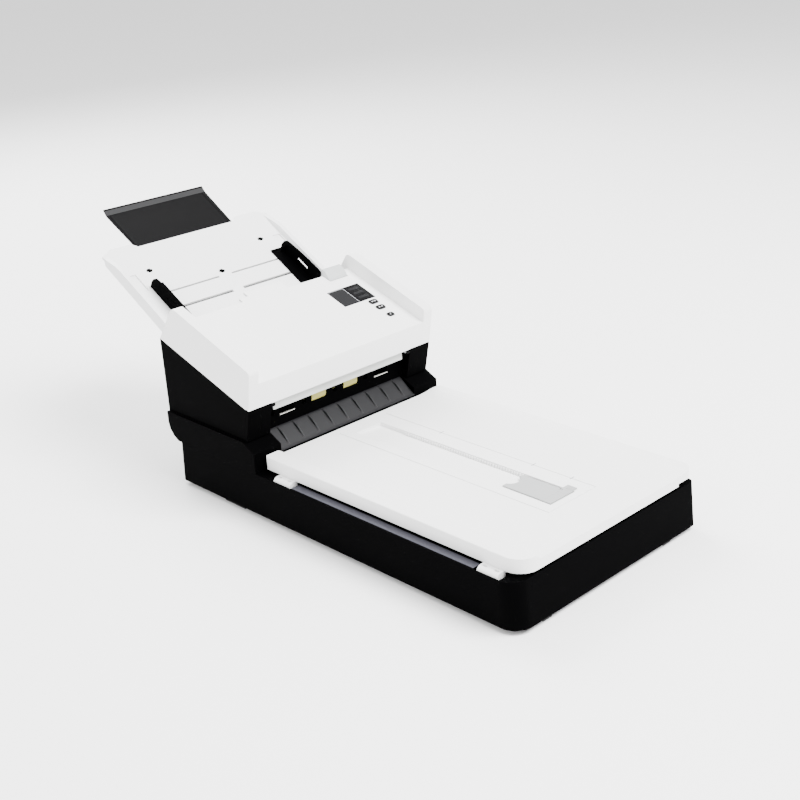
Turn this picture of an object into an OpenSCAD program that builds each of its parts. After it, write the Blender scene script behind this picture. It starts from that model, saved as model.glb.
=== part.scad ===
// Sheet fed document scanner: a feeder tower behind a flatbed with a hinged lid.
// Millimetres. +Z is up, -Y is the front, +X is the right side.
// The origin is on the table, under the middle of the base tub.

/* [Base tub] */
// Width of the base tub
base_width = 316; // [300:1:380]
// Length of the base tub, front to back
base_length = 580; // [560:1:700]
// Height of the top deck above the table
deck_height = 61; // [58:0.5:74]
// Height of the rubber feet
foot_height = 6; // [5:0.5:7.5]
// Wall thickness of the tub
tub_wall = 2.5; // [2:0.1:3]
// Rounding of the front left corner
front_left_round = 22; // [12:1:24]

/* [Flatbed lid] */
// Thickness of the lid over its flat middle
lid_thickness = 11; // [9.5:0.5:14]
// Height of the raised left ridge above the flat middle
ridge_height = 5.5; // [4.5:0.5:7]
// Space between the deck and the lid
lid_gap = 4; // [3.4:0.1:5]

/* [Rollers] */
// Radius of the exit rollers
exit_roller_radius = 10.6; // [9:0.1:10.8]
// Radius of the feed roller
feed_roller_radius = 12.5; // [10.5:0.1:12.6]
// Radius of the roller shafts
shaft_radius = 3; // [2.4:0.1:3.6]
// Running clearance between a shaft and its bore
running_gap = 0.05; // [0.03:0.01:0.09]

/* [Tray] */
// Length of the extension plate beyond the tray
extension_reach = 74; // [60:1:90]
// Height of the paper guide fins
fin_height = 20; // [14:1:24]
// Radius of the lid hinge pins
hinge_pin_radius = 2; // [1.6:0.1:2.4]

/* [Hidden] */
$fn = 48;
half_width = base_width / 2;
front_y = -base_length / 2;
back_y = base_length / 2;
tower_shift = back_y - 290;
lift = deck_height - 61;
side_x = half_width - 4;
side_wall = 2.5;
cheek_x = half_width - 18.9;
pillar_x = half_width - 40;
split_x = half_width - 23;
front_lean = 4.6;
back_lean = 4;
deck_thick = 4;
small = 0.3;
touch = 0.2;

// Flatbed glass
glass_left = -108;
glass_right = 112;
glass_front = front_y + 26;
glass_back = 96 + tower_shift;
rabbet = 4;
glass_thick = 2.9;

// Lid
lid_left = -half_width + 14;
lid_right = half_width - 3.5;
lid_front = front_y + 4;
lid_back = 124.3 + tower_shift;
lid_bottom = deck_height + lid_gap;
lid_top = lid_bottom + lid_thickness;
ridge_top = lid_top + ridge_height;
lid_skin = 2.8;
hinge_x = -half_width + 9.5;
hinge_z = deck_height - 3.2;
barrel_radius = 7;
pocket_rear = 64 + tower_shift;
pocket_front = front_y + 25;
pocket_rear_length = 37;
pocket_front_length = 36;

// Recess in the lid for the stopper
recess_left = -17;
recess_right = 25;
recess_front = front_y + 73;
recess_back = 98 + tower_shift;
recess_depth = 5;
recess_shallow = 2.6;
rack_pitch = 4.2;
rack_teeth = 46;
rack_front = front_y + 147;
stopper_hinge_y = recess_front + 14;
stopper_hinge_z = lid_top - 0.6;
flap_length = 58;
flap_pin_radius = 0.9;

// Scan carriage
rod_x_pos = 2;
rod_z = 26;
rod_radius = 4;
carriage_y = 84 + tower_shift;
carriage_depth = 28;
belt_x = 30;
belt_z = 14;
belt_height = 6;
pulley_radius = 8;
belt_gap = 0.35;
belt_thick = 1;
drive_y = 148 + tower_shift;
idler_y = front_y + 22;

// Tower side view, [y, z] with the deck at 61
side_profile = [[143.1, 98], [134.1, 139.4], [305.4, 196.4], [305.4, 98]];
mid_profile = [[127.5, 61], [127.5, 87.5], [148.7, 98], [305.5, 98], [305.5, 83], [303, 74], [297, 66.5],
  [288, 61]];
mid_hollow = [[130, 58], [130, 86], [149.5, 95.5], [303, 95.5], [303, 83.5], [300.5, 76], [295, 69], [287,
  64], [283, 58]];
ramp_profile = [[127.5, 77], [127.5, 78.2], [129.5, 79.2], [152.5, 96.2], [155.4, 97.6], [155.4, 95.4],
  [153.4, 94.6], [130.5, 77]];
rib_profile = [[130, 79.4], [134, 83.9], [139, 89.6], [143, 92.9], [147, 94.9], [151, 96.4], [154.5,
  97.6], [152.5, 96]];
pillar_profile = [[143.1, 98], [134.1, 139.4], [149, 144.3], [156, 142], [156.3, 98]];
wall_profile = [[153.8, 98], [153.8, 126.3], [156.3, 127.2], [156.3, 98]];
bearing_profile = [[156.4, 98], [156.4, 126], [200, 140.5], [262, 168], [284, 181], [303, 192], [303, 98]];
path_profile = [[156.6, 124.9], [164, 128], [235, 157.8], [262, 171], [286, 184.8], [287, 182.9], [263,
  169], [236, 155.8], [165, 126], [156.6, 122.5]];
ramp_half = half_width - 42.8;
plate_inner = half_width - 21.2;
plate_outer = half_width - 18.4;
exit_axis = [164.4, 118];
feed_axis = [238, 147.5];
pick_axis = [268, 163.5];
motor_axis = [215, 112];
pinch_axis = [162, 134.75];
retard_axis = [228.8, 169.3];
cover_axis = [137.5, 137];
cover_pin_radius = 1.5;
drive_pulley_radius = 8;
motor_pulley_radius = 6;
pick_roller_radius = 10.5;
pinch_radius = 6;
retard_radius = 10.8;
pulley_width = 6;

// ADF cover side view, [y, z]
cheek_profile = [[134, 139.9], [125.6, 187.5], [126.3, 190.4], [129, 192.5], [264, 241], [269, 242.2],
  [273.5, 240.6], [305.3, 196.8]];
cheek_hollow = [[137, 139], [128.3, 187], [130, 190], [264.5, 238.3], [268.6, 239.4], [271.5, 238.3],
  [303.2, 194]];
panel_profile = [[134, 139.9], [128.2, 172.9], [271.5, 222.4], [262, 191], [259.2, 181.6]];
panel_hollow = [[136.9, 139], [131.2, 171.1], [267.9, 218.2], [259.3, 190], [256.4, 180.6]];
tab_profile = [[268, 221.2], [287.8, 228], [287.8, 225.2], [268, 218.4]];
panel_origin = [128.2, 172.9];
panel_slope = 19.06;
screen_left = half_width - 88.7;
screen_right = half_width - 33.4;
screen_low = 78.1;
screen_high = 116.2;
screen_depth = 1.2;
button_x = half_width - 45;
scan_button_s = 70.1;
copy_button_s = 55.6;
power_button_s = 36.1;
latch_profile = [[258.6, 217.4], [260.5, 221.2], [268.5, 229.8], [273.6, 231.2], [275.4, 228.4], [273.4,
  219], [270.5, 208.5], [262, 208.5]];
latch_axis = [266.5, 213];
latch_left = half_width - 64;
latch_right = half_width - 32;
latch_pin_radius = 1.5;

// Tray, in its own sloping frame
tray_origin = [365, 231.5];
tray_slope = 30;
tray_half = half_width - 19.6;
tray_neck = half_width - 21.6;
tray_far = 98.6;
tray_near = -88;
tray_thick = 3;
rim_width = 7;
rim_height = 8;
slot_thin_v = 0;
slot_thick_v = -30.4;
guide_inner = 91.6;
fin_x = 109.4;
slot_end = 104.5;
stem_inner = 97;
stem_outer = 103;
guide_low = -62;
guide_high = 17;
pinion_v = -24;
tooth_module = 1.4;
pinion_teeth = 12;
pitch_radius = tooth_module * pinion_teeth / 2;
tooth_pitch = 3.14159265 * tooth_module;
rack_low = -9;
rack_high = -6;
extension_low = -6.2;
extension_high = -4.4;

base_tub();
base_plate();
rubber_feet();
platen_glass();
calibration_strip();
guide_rod();
scan_motor();
scan_belt();
main_board();
dc_inlet();
usb_socket();
switch_housing();
mid_housing();
exit_ramp();
side_cover_left();
side_cover_right();
rear_cover();
tower_frame();
lower_guide();
cis_lower();
adf_motor();
drive_belts();
hinge_pins();
case_screws();
feed_tray();
tray_bottom();
carriage_frame();
cis_flatbed();
drive_pulley();
idler_pulley();
exit_shaft();
exit_rollers();
feed_shaft();
feed_roller();
pick_shaft();
pick_roller();
adf_motor_pulley();
lid_shell();
lid_liner();
lid_pad();
lid_hinges();
stopper_slider();
stopper_flap();
adf_cover();
upper_guide();
cis_upper();
exit_film();
display_window();
control_board();
button_scan();
button_copy();
button_power();
release_latch();
pinch_rollers();
retard_roller();
paper_guide_left();
paper_guide_right();
guide_pinion();
extension_plate();
power_rocker();

// ---------- shared shapes ----------

module box(x0, x1, y0, y1, z0, z1) {
  translate([x0, y0, z0]) cube([x1 - x0, y1 - y0, z1 - z0]);
}

module slab_x(x0, x1) {
  translate([x0, 0, 0]) rotate([90, 0, 90]) linear_extrude(height = x1 - x0) children();
}

module slab_y(y0, y1) {
  translate([0, y1, 0]) rotate([90, 0, 0]) linear_extrude(height = y1 - y0) children();
}

module rod_x(x0, x1, at, r) {
  translate([x0, at[0], at[1]]) rotate([0, 90, 0]) cylinder(h = x1 - x0, r = r);
}

module rod_y(y0, y1, at, r) {
  translate([at[0], y1, at[1]]) rotate([90, 0, 0]) cylinder(h = y1 - y0, r = r);
}

// Everything on the tower follows the back edge and the deck height.
module on_tower() {
  translate([0, tower_shift, lift]) children();
}

module on_panel() {
  translate([0, panel_origin[0], panel_origin[1]]) rotate([panel_slope, 0, 0]) children();
}

module on_tray() {
  translate([0, tray_origin[0], tray_origin[1]]) rotate([tray_slope, 0, 0]) children();
}

// Plan outline with four separate corner radii: front left, front right, back right, back left.
module plan(x0, x1, y0, y1, fl, fr, br, bl) {
  difference() {
    translate([x0, y0]) square([x1 - x0, y1 - y0]);
    corner_cut(x0, y0, 1, 1, fl);
    corner_cut(x1, y0, -1, 1, fr);
    corner_cut(x1, y1, -1, -1, br);
    corner_cut(x0, y1, 1, -1, bl);
  }
}

module corner_cut(x, y, sx, sy, r) {
  translate([x, y]) scale([sx, sy]) difference() {
    translate([-1, -1]) square([r + 1, r + 1]);
    translate([r, r]) circle(r = r);
  }
}

module rounded_tile(w, d, r) {
  plan(-w / 2, w / 2, -d / 2, d / 2, r, r, r, r);
}

// One end of the tub: its plan is extruded along the leaning end wall.
module tub_end(lean, r_left, r_right) {
  // The tilt lowers the far end of the block, so it is made taller by that much.
  tilt = atan(lean / (deck_height - foot_height));
  translate([0, 0, foot_height]) rotate([-tilt, 0, 0]) translate([0, 0, -10])
    linear_extrude(height = deck_height + 20 + base_length * tan(tilt))
      plan(-half_width, half_width, 0, base_length * 0.6, r_left, r_right, 1, 1);
}

module tub_block() {
  intersection() {
    translate([0, front_y, 0]) tub_end(front_lean, front_left_round, 7);
    box(-half_width, half_width, front_y - 20, 0, foot_height, deck_height);
  }
  intersection() {
    translate([0, back_y, 0]) rotate([0, 0, 180]) tub_end(back_lean, 8, 8);
    box(-half_width, half_width, 0, back_y + 20, foot_height, deck_height);
  }
}

module inner_plan(gap) {
  plan(-half_width + tub_wall + gap, half_width - tub_wall - gap, front_y + tub_wall + front_lean + gap,
    back_y - tub_wall - back_lean - gap, front_left_round - 3 - gap, 5, 5, 5);
}

// ---------- base tub ----------

module hinge_pocket(y0, length) {
  box(-half_width + 1.8, -half_width + 19, y0, y0 + length, deck_height - 11.5, deck_height + 1);
}

module hinge_boss(y0, length) {
  box(-half_width + 1, -half_width + 21, y0 - 4, y0 + length + 4, deck_height - 14, deck_height - 1);
}

screw_spots = [[-half_width + 15, front_y + 15], [half_width - 14, front_y + 14], [-half_width + 14, -60],
  [half_width - 14, -60], [-half_width + 14, back_y - 16], [half_width - 14, back_y - 16]];

module base_tub() {
  color([0.08, 0.08, 0.085]) difference() {
    union() {
      difference() {
        tub_block();
        translate([0, 0,
          foot_height - 1]) linear_extrude(height = deck_height - deck_thick - foot_height + 1) inner_plan(0);
      }
      hinge_boss(pocket_rear, pocket_rear_length);
      hinge_boss(pocket_front, pocket_front_length);
      for (p = screw_spots)
        translate([p[0], p[1], foot_height + 2.7]) cylinder(h = deck_height - foot_height - 5, r = 5);
    }
    box(glass_left, glass_right, glass_front, glass_back, deck_height - 8, deck_height + 2);
    box(glass_left - rabbet, glass_right + rabbet, glass_front - rabbet, glass_back + rabbet,
      deck_height - 3, deck_height + 2);
    box(-half_width + 40, half_width - 40, 152 + tower_shift, 268 + tower_shift, deck_height - 8,
      deck_height + 2);
    hinge_pocket(pocket_rear, pocket_rear_length);
    hinge_pocket(pocket_front, pocket_front_length);
    rod_y(pocket_rear - 3.9, pocket_rear + pocket_rear_length + 3.9, [hinge_x, hinge_z], hinge_pin_radius);
    rod_y(pocket_front - 3.9, pocket_front + pocket_front_length + 3.9, [hinge_x, hinge_z],
      hinge_pin_radius);
    for (p = screw_spots)
      translate([p[0], p[1], foot_height + 2]) cylinder(h = 13, r = 1.3);
    box(-101, -87, back_y - 8, back_y + 2, 18, 30);
    box(-72, -58, back_y - 8, back_y + 2, 18, 30);
    box(86, 112, back_y - 8, back_y + 2, 17, 33);
  }
}

module base_plate() {
  color([0.1, 0.1, 0.1]) difference() {
    union() {
      translate([0, 0, foot_height]) linear_extrude(height = 2.5) inner_plan(small);
      box(rod_x_pos - 8, rod_x_pos + 8, front_y + 9, front_y + 15, foot_height + 1, rod_z + 7);
      box(rod_x_pos - 8, rod_x_pos + 8, 118 + tower_shift, 124 + tower_shift, foot_height + 1, rod_z + 7);
      for (x = [-106, -16])
        for (y = [186, 262])
          translate([x, y + tower_shift, foot_height + 1]) cylinder(h = 13 - foot_height, r = 3);
      for (x = [belt_x - 17, belt_x + 17])
        for (y = [drive_y - 17, drive_y + 17])
          translate([x, y, foot_height + 1]) cylinder(h = 23 - foot_height, r = 3.5);
      translate([belt_x, idler_y, foot_height + 1]) cylinder(h = belt_z - foot_height - 2.6, r = 4);
      translate([belt_x, idler_y, foot_height + 1]) cylinder(h = belt_z + 6 - foot_height, r = 2);
    }
    rod_y(front_y + 8.5, front_y + 16, [rod_x_pos, rod_z], rod_radius);
    rod_y(117 + tower_shift, 125 + tower_shift, [rod_x_pos, rod_z], rod_radius);
    for (p = screw_spots)
      translate([p[0], p[1], foot_height - 1]) cylinder(h = 5, r = 1.7);
    for (p = screw_spots)
      translate([p[0], p[1], foot_height - 1]) cylinder(h = 2.4, r = 3.2);
  }
}

module rubber_feet() {
  color([0.12, 0.12, 0.12]) {
    box(-half_width + 5, -half_width + 21, back_y - 126, back_y - 86, 0, foot_height);
    box(half_width - 21, half_width - 5, back_y - 126, back_y - 86, 0, foot_height);
    box(-half_width + 45, -half_width + 59, front_y + 4, front_y + 34, 0, foot_height);
    box(half_width - 59, half_width - 45, front_y + 4, front_y + 34, 0, foot_height);
    box(-20, 20, -12, 12, 0, foot_height);
  }
}

module platen_glass() {
  color([0.75, 0.82, 0.84, 0.5])
    box(glass_left - rabbet + small, glass_right + rabbet - small, glass_front - rabbet + small,
      glass_back + rabbet - small, deck_height - 3, deck_height - 3 + glass_thick);
}

module calibration_strip() {
  color([0.95, 0.95, 0.95])
    box(glass_left, glass_right, glass_back + 5, glass_back + 13, deck_height - deck_thick - 1,
      deck_height - deck_thick);
}

module guide_rod() {
  color([0.75, 0.76, 0.78]) rod_y(front_y + 9, 124 + tower_shift, [rod_x_pos, rod_z], rod_radius);
}

module scan_motor() {
  color([0.3, 0.31, 0.33]) translate([belt_x, drive_y, 0]) {
    translate([0, 0, 26.2]) linear_extrude(height = 22) rounded_tile(42, 42, 4);
    translate([0, 0, 24]) linear_extrude(height = 2.2) rounded_tile(46, 46, 5);
    translate([0, 0, 22.2]) cylinder(h = 2, r = 10);
    translate([0, 0, 13.6]) cylinder(h = 9, r = 2.5);
  }
}

module belt_loop(d, r, thick, height) {
  difference() {
    union() {
      cylinder(h = height, r = r + thick);
      translate([0, d, 0]) cylinder(h = height, r = r + thick);
      translate([-r - thick, 0, 0]) cube([2 * (r + thick), d, height]);
    }
    translate([0, 0, -1]) cylinder(h = height + 2, r = r);
    translate([0, d, -1]) cylinder(h = height + 2, r = r);
    translate([-r, 0, -1]) cube([2 * r, d, height + 2]);
  }
}

module scan_belt() {
  color([0.15, 0.15, 0.16]) translate([belt_x, idler_y, belt_z])
    belt_loop(drive_y - idler_y, pulley_radius + belt_gap, belt_thick, belt_height);
}

module timing_pulley(bore) {
  difference() {
    union() {
      translate([0, 0, -0.3]) cylinder(h = belt_height + 0.6, r = pulley_radius);
      translate([0, 0, -1.3]) cylinder(h = 1, r = pulley_radius + 1.2);
      translate([0, 0, belt_height + 0.3]) cylinder(h = 1, r = pulley_radius + 1.2);
    }
    translate([0, 0, -2]) cylinder(h = belt_height + 5, r = bore);
  }
}

module drive_pulley() {
  color([0.7, 0.7, 0.68]) translate([belt_x, drive_y, belt_z]) timing_pulley(2.5 + running_gap);
}

module idler_pulley() {
  color([0.7, 0.7, 0.68]) translate([belt_x, idler_y, belt_z]) timing_pulley(2 + running_gap);
}

module main_board() {
  color([0.05, 0.32, 0.16]) translate([0, tower_shift, 0]) {
    box(-112, -10, 180, 268, 14, 15.6);
    box(-80, -60, 210, 230, 15.6, 18);
    box(-50, -36, 215, 225, 15.6, 17.4);
    box(-100, -90, 200, 216, 15.6, 27);
    box(-40, -20, 184, 190, 15.6, 23);
  }
}

module dc_inlet() {
  color([0.09, 0.09, 0.09]) difference() {
    union() {
      box(-100.8, -87.2, back_y - 28, back_y - 1.8, 18.2, 29.8);
      box(-100.8, -87.2, back_y - 28, back_y - 22, 15.6, 19);
    }
    rod_y(back_y - 11, back_y, [-94, 24], 3.2);
  }
  color([0.8, 0.8, 0.75]) rod_y(back_y - 12, back_y - 3, [-94, 24], 1);
}

module usb_socket() {
  color([0.7, 0.71, 0.72]) difference() {
    union() {
      box(-71.8, -58.2, back_y - 28, back_y - 1.8, 18.2, 29.8);
      box(-71.8, -58.2, back_y - 28, back_y - 22, 15.6, 19);
    }
    box(-70.8, -59.2, back_y - 15, back_y, 19.2, 28.8);
  }
  color([0.95, 0.95, 0.95]) box(-68, -62, back_y - 16, back_y - 4, 22, 26);
}

module switch_housing() {
  color([0.07, 0.07, 0.07]) difference() {
    union() {
      box(86.2, 111.8, back_y - 18, back_y - 1.6, 17.2, 32.8);
      box(84.5, 113.5, back_y - 0.6, back_y + 0.8, 15.5, 34.5);
      box(86.2, 111.8, back_y - 2, back_y, 17.2, 32.8);
    }
    box(88.2, 109.8, back_y - 13, back_y + 2, 19.2, 30.8);
    rod_x(86.6, 111.4, [back_y - 5, 25], 1 + running_gap);
  }
}

module power_rocker() {
  color([0.1, 0.1, 0.1]) {
    slab_x(88.6, 109.4) polygon([[back_y - 9, 21.4], [back_y - 9, 28.6], [back_y - 0.6, 29.6],
      [back_y - 1.6, 25], [back_y - 0.6, 20.4]]);
    rod_x(86.9, 111.1, [back_y - 5, 25], 1);
  }
}

// ---------- scan carriage ----------

module carriage_frame() {
  color([0.13, 0.13, 0.14]) difference() {
    union() {
      box(-110, 114, carriage_y, carriage_y + carriage_depth, 34, 38);
      box(-110, 114, carriage_y, carriage_y + 2.5, 34, 46);
      box(-110, 114, carriage_y + carriage_depth - 2.5, carriage_y + carriage_depth, 34, 46);
      box(-110, -107, carriage_y, carriage_y + carriage_depth, 34, 46);
      box(111, 114, carriage_y, carriage_y + carriage_depth, 34, 46);
      box(rod_x_pos - 9, rod_x_pos + 9, carriage_y, carriage_y + carriage_depth, 20.5, 35);
      box(belt_x + 5.4, belt_x + 7.8, carriage_y + 8, carriage_y + 20, 12.5, 35);
      box(belt_x + 10, belt_x + 12.4, carriage_y + 8, carriage_y + 20, 12.5, 35);
    }
    rod_y(carriage_y - 1, carriage_y + carriage_depth + 1, [rod_x_pos, rod_z], rod_radius + running_gap);
  }
}

module cis_flatbed() {
  color([0.16, 0.17, 0.18]) difference() {
    box(-106.5, 110.5, carriage_y + 5, carriage_y + 23, 38, deck_height - 5.6);
    box(-104, 108, carriage_y + 12, carriage_y + 16, deck_height - 7, deck_height - 5);
  }
}

// ---------- mid housing and tower ----------

module mid_housing() {
  color([0.08, 0.08, 0.085]) on_tower() difference() {
    slab_x(-half_width, half_width) polygon(mid_profile);
    slab_x(-half_width + 2.5, half_width - 2.5) polygon(mid_hollow);
    box(-ramp_half, ramp_half, 126, 160, 77, 100);
    box(-half_width + 20, half_width - 20, 159, 298, 90, 100);
  }
}

module exit_ramp() {
  color([0.2, 0.2, 0.21]) on_tower() {
    slab_x(-ramp_half, ramp_half) polygon(ramp_profile);
    for (i = [-4:4])
      slab_x(i * 24.8 - 0.9, i * 24.8 + 0.9) polygon(rib_profile);
  }
}

module side_cover() {
  union() {
    slab_x(side_x - side_wall, side_x) polygon(side_profile);
    intersection() {
      slab_x(split_x + 0.2, side_x) polygon(side_profile);
      slab_x(split_x + 0.2, side_x) polygon([[143, 97], [133, 141], [136.6, 142], [146.6, 97]]);
    }
    box(side_x - 8, side_x, 292, 302.8, 98, 101);
  }
}

module side_cover_left() {
  color([0.08, 0.08, 0.085]) on_tower() mirror([1, 0, 0]) side_cover();
}

module side_cover_right() {
  color([0.08, 0.08, 0.085]) on_tower() side_cover();
}

module rear_cover() {
  color([0.08, 0.08, 0.085]) on_tower() difference() {
    box(-side_x + side_wall + touch, side_x - side_wall - touch, 303, 305.4, 98, 183);
    for (i = [-6:6])
      box(i * 12 - 3, i * 12 + 3, 300, 308, 120, 150);
    for (x = [-120, 120])
      for (z = [108, 176])
        rod_y(300, 308, [x, z], 1.7);
  }
}

module shaft_bores(r_extra) {
  rod_x(-half_width, half_width, exit_axis, shaft_radius + r_extra);
  rod_x(-half_width, half_width, feed_axis, shaft_radius + r_extra);
  rod_x(-half_width, half_width, pick_axis, shaft_radius + r_extra);
}

module bearing_plate() {
  slab_x(plate_inner, plate_outer) polygon(bearing_profile);
}

module tower_frame() {
  color([0.1, 0.1, 0.105]) on_tower() difference() {
    union() {
      slab_x(pillar_x, split_x) polygon(pillar_profile);
      mirror([1, 0, 0]) slab_x(pillar_x, split_x) polygon(pillar_profile);
      slab_x(-pillar_x - 1, pillar_x + 1) polygon(wall_profile);
      bearing_plate();
      mirror([1, 0, 0]) bearing_plate();
      box(split_x - 2, plate_outer, 154, 160, 98, 122.2);
      box(-plate_outer, -split_x + 2, 154, 160, 98, 122.2);
      box(-half_width + 21, half_width - 21, 288, 302.8, 98, 101);
    }
    for (side = [-1, 1]) {
      box(side * 80.4 - 12.2, side * 80.4 + 12.2, 150, 160, 110.8, 130);
      box(side * 27.2 - 13.1, side * 27.2 + 13.1, 150, 160, 110.8, 130);
    }
    for (x = [-105, -52.5, 0, 53])
      box(x - 3.5, x + 3.5, 150, 160, 113, 119);
    shaft_bores(running_gap);
    rod_x(-half_width, -half_width + 30, motor_axis, 4);
    rod_x(-pillar_x - 6.5, -pillar_x + 1, cover_axis, cover_pin_radius);
    rod_x(pillar_x - 1, pillar_x + 6.5, cover_axis, cover_pin_radius);
    rod_x(-half_width, -half_width + 30, [296, 183.4], 3);
    rod_x(half_width - 30, half_width, [296, 183.4], 3);
  }
}

module lower_guide() {
  color([0.12, 0.12, 0.125]) on_tower() difference() {
    slab_x(-plate_inner, plate_inner) polygon(path_profile);
    for (side = [-1, 1])
      box(side * 27.2 - 13.1, side * 27.2 + 13.1, 150, 177, 110, 140);
    box(-26.5, 26.5, 222, 254, 130, 180);
    box(-21.5, 21.5, 255, 281, 150, 190);
    translate([0, 205, 145.2]) rotate([22.77, 0, 0]) box(-110.5, 110.5, -9.4, 9.4, -6, 6);
  }
}

module cis_lower() {
  color([0.16, 0.17, 0.18]) on_tower() translate([0, 205, 145.2]) rotate([22.77, 0, 0]) difference() {
    box(-110, 110, -9, 9, -13, 0);
    box(-107, 107, -3, 3, -1, 1);
  }
}

module exit_shaft() {
  color([0.74, 0.75, 0.77]) on_tower() {
    rod_x(-half_width + 9.5, half_width - 17.5, exit_axis, shaft_radius);
    rod_x(-half_width + 10, -half_width + 10 + pulley_width, exit_axis, drive_pulley_radius);
  }
}

module exit_rollers() {
  color([0.78, 0.74, 0.42]) on_tower() difference() {
    union() {
      rod_x(15.6, 38.8, exit_axis, exit_roller_radius);
      rod_x(-38.8, -15.6, exit_axis, exit_roller_radius);
      rod_x(-15.7, 15.7, exit_axis, shaft_radius + 2);
    }
    rod_x(-50, 50, exit_axis, shaft_radius);
  }
}

module feed_shaft() {
  color([0.74, 0.75, 0.77]) on_tower() {
    rod_x(-half_width + 9.5, half_width - 9.5, feed_axis, shaft_radius);
    rod_x(-half_width + 10, -half_width + 10 + pulley_width, feed_axis, drive_pulley_radius);
    rod_x(half_width - 10 - pulley_width, half_width - 10, feed_axis, drive_pulley_radius);
  }
}

module feed_roller() {
  color([0.16, 0.17, 0.19]) on_tower() difference() {
    rod_x(-24, 24, feed_axis, feed_roller_radius);
    rod_x(-30, 30, feed_axis, shaft_radius);
    for (x = [-9, 9])
      difference() {
        rod_x(x - 1, x + 1, feed_axis, feed_roller_radius + 1);
        rod_x(x - 2, x + 2, feed_axis, feed_roller_radius - 1);
      }
  }
}

module pick_shaft() {
  color([0.74, 0.75, 0.77]) on_tower() {
    rod_x(-half_width + 17.5, half_width - 9.5, pick_axis, shaft_radius);
    rod_x(half_width - 10 - pulley_width, half_width - 10, pick_axis, drive_pulley_radius);
  }
}

module pick_roller() {
  color([0.17, 0.17, 0.18]) on_tower() difference() {
    rod_x(-19, 19, pick_axis, pick_roller_radius);
    rod_x(-30, 30, pick_axis, shaft_radius);
  }
}

module adf_motor() {
  color([0.3, 0.31, 0.33]) on_tower() {
    rod_x(-plate_inner, -half_width + 55, motor_axis, 14);
    rod_x(-half_width + 9.8, -half_width + 22, motor_axis, 2);
    rod_x(-half_width + 55, -half_width + 60, motor_axis, 5);
  }
}

module adf_motor_pulley() {
  color([0.75, 0.72, 0.5]) on_tower() difference() {
    rod_x(-half_width + 10, -half_width + 10 + pulley_width, motor_axis, motor_pulley_radius);
    rod_x(-half_width + 9, -half_width + 18, motor_axis, 2 + running_gap);
  }
}

module belt_ring(points, radii, grow) {
  hull() {
    for (i = [0:len(points) - 1])
      translate(points[i]) circle(r = radii[i] + grow);
  }
}

module drive_belts() {
  color([0.14, 0.14, 0.15]) on_tower() {
    slab_x(-half_width + 10.5, -half_width + 15.5) difference() {
      belt_ring([exit_axis, feed_axis, motor_axis], [drive_pulley_radius, drive_pulley_radius,
        motor_pulley_radius], belt_gap + belt_thick);
      belt_ring([exit_axis, feed_axis, motor_axis], [drive_pulley_radius, drive_pulley_radius,
        motor_pulley_radius], belt_gap);
    }
    slab_x(half_width - 15.5, half_width - 10.5) difference() {
      belt_ring([feed_axis, pick_axis], [drive_pulley_radius, drive_pulley_radius], belt_gap + belt_thick);
      belt_ring([feed_axis, pick_axis], [drive_pulley_radius, drive_pulley_radius], belt_gap);
    }
  }
}

module hinge_pins() {
  color([0.74, 0.75, 0.77]) {
    rod_y(pocket_rear - 3.8, pocket_rear + pocket_rear_length + 3.8, [hinge_x, hinge_z], hinge_pin_radius);
    rod_y(pocket_front - 3.8, pocket_front + pocket_front_length + 3.8, [hinge_x, hinge_z],
      hinge_pin_radius);
    on_tower() rod_x(-pillar_x - 6.4, -pillar_x + 6.4, cover_axis, cover_pin_radius);
    on_tower() rod_x(pillar_x - 6.4, pillar_x + 6.4, cover_axis, cover_pin_radius);
  }
}

module case_screws() {
  color([0.6, 0.6, 0.62]) {
    for (p = screw_spots) {
      translate([p[0], p[1], foot_height + 0.1]) cylinder(h = 1.3, r = 2.9);
      translate([p[0], p[1], foot_height + 1]) cylinder(h = 12, r = 1.3);
    }
    on_tower() for (x = [-120, 120])
      for (z = [108, 176]) {
        rod_y(305.4, 307, [x, z], 2.9);
        rod_y(297, 305.6, [x, z], 1.3);
      }
  }
}

// ---------- feed tray ----------

module tray_plan() {
  polygon([[-tray_neck, tray_near], [tray_neck, tray_near], [tray_neck, -66], [tray_half, -66],
    [tray_half, 89.4], [tray_half - 16.4, tray_far], [88, tray_far], [81.4, 91], [-81.4, 91],
    [-88, tray_far], [-tray_half + 16.4, tray_far], [-tray_half, 89.4], [-tray_half, -66], [-tray_neck,
      -66]]);
}

module both_sides() {
  children();
  mirror([1, 0, 0]) children();
}

module tray_rim() {
  slab_x(tray_half - rim_width, tray_half) polygon([[-66, -0.5], [-66, 2], [-58, rim_height - 1],
    [-50, rim_height], [50, rim_height], [62, rim_height - 1.5], [84, 0.6], [88, -0.5]]);
  slab_x(tray_half - 2.6, tray_half) polygon([[-66, -9], [-66, -0.5], [86, -0.5], [80, -8]]);
  slab_x(tray_neck - 2.6, tray_neck) polygon([[tray_near + 0.5, -11], [tray_near + 0.5, -0.5], [-62,
    -0.5], [-62, -10]]);
}

module feed_tray() {
  color([0.94, 0.94, 0.94]) on_tower() on_tray() difference() {
    union() {
      translate([0, 0, -tray_thick]) linear_extrude(height = tray_thick) tray_plan();
      both_sides() tray_rim();
      both_sides() box(84.2, 89, 6, 91, -8, -2.8);
      both_sides() rod_x(tray_neck - 4, plate_outer - 0.2, [-83.8, -7.2], 2.95);
      translate([0, pinion_v, -10]) cylinder(h = 8, r = hinge_pin_radius);
    }
    both_sides() box(10.7, slot_end, slot_thin_v - 1.4, slot_thin_v + 1.4, -4, 1);
    both_sides() box(8.8, slot_end, slot_thick_v - 2.2, slot_thick_v + 2.2, -4, 1);
    both_sides() box(80, 87, 9, 89, extension_low - 0.4, extension_high + 0.4);
    both_sides() box(116.5, 128.5, 10, 44.5, -1.8, 1);
  }
}

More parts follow.
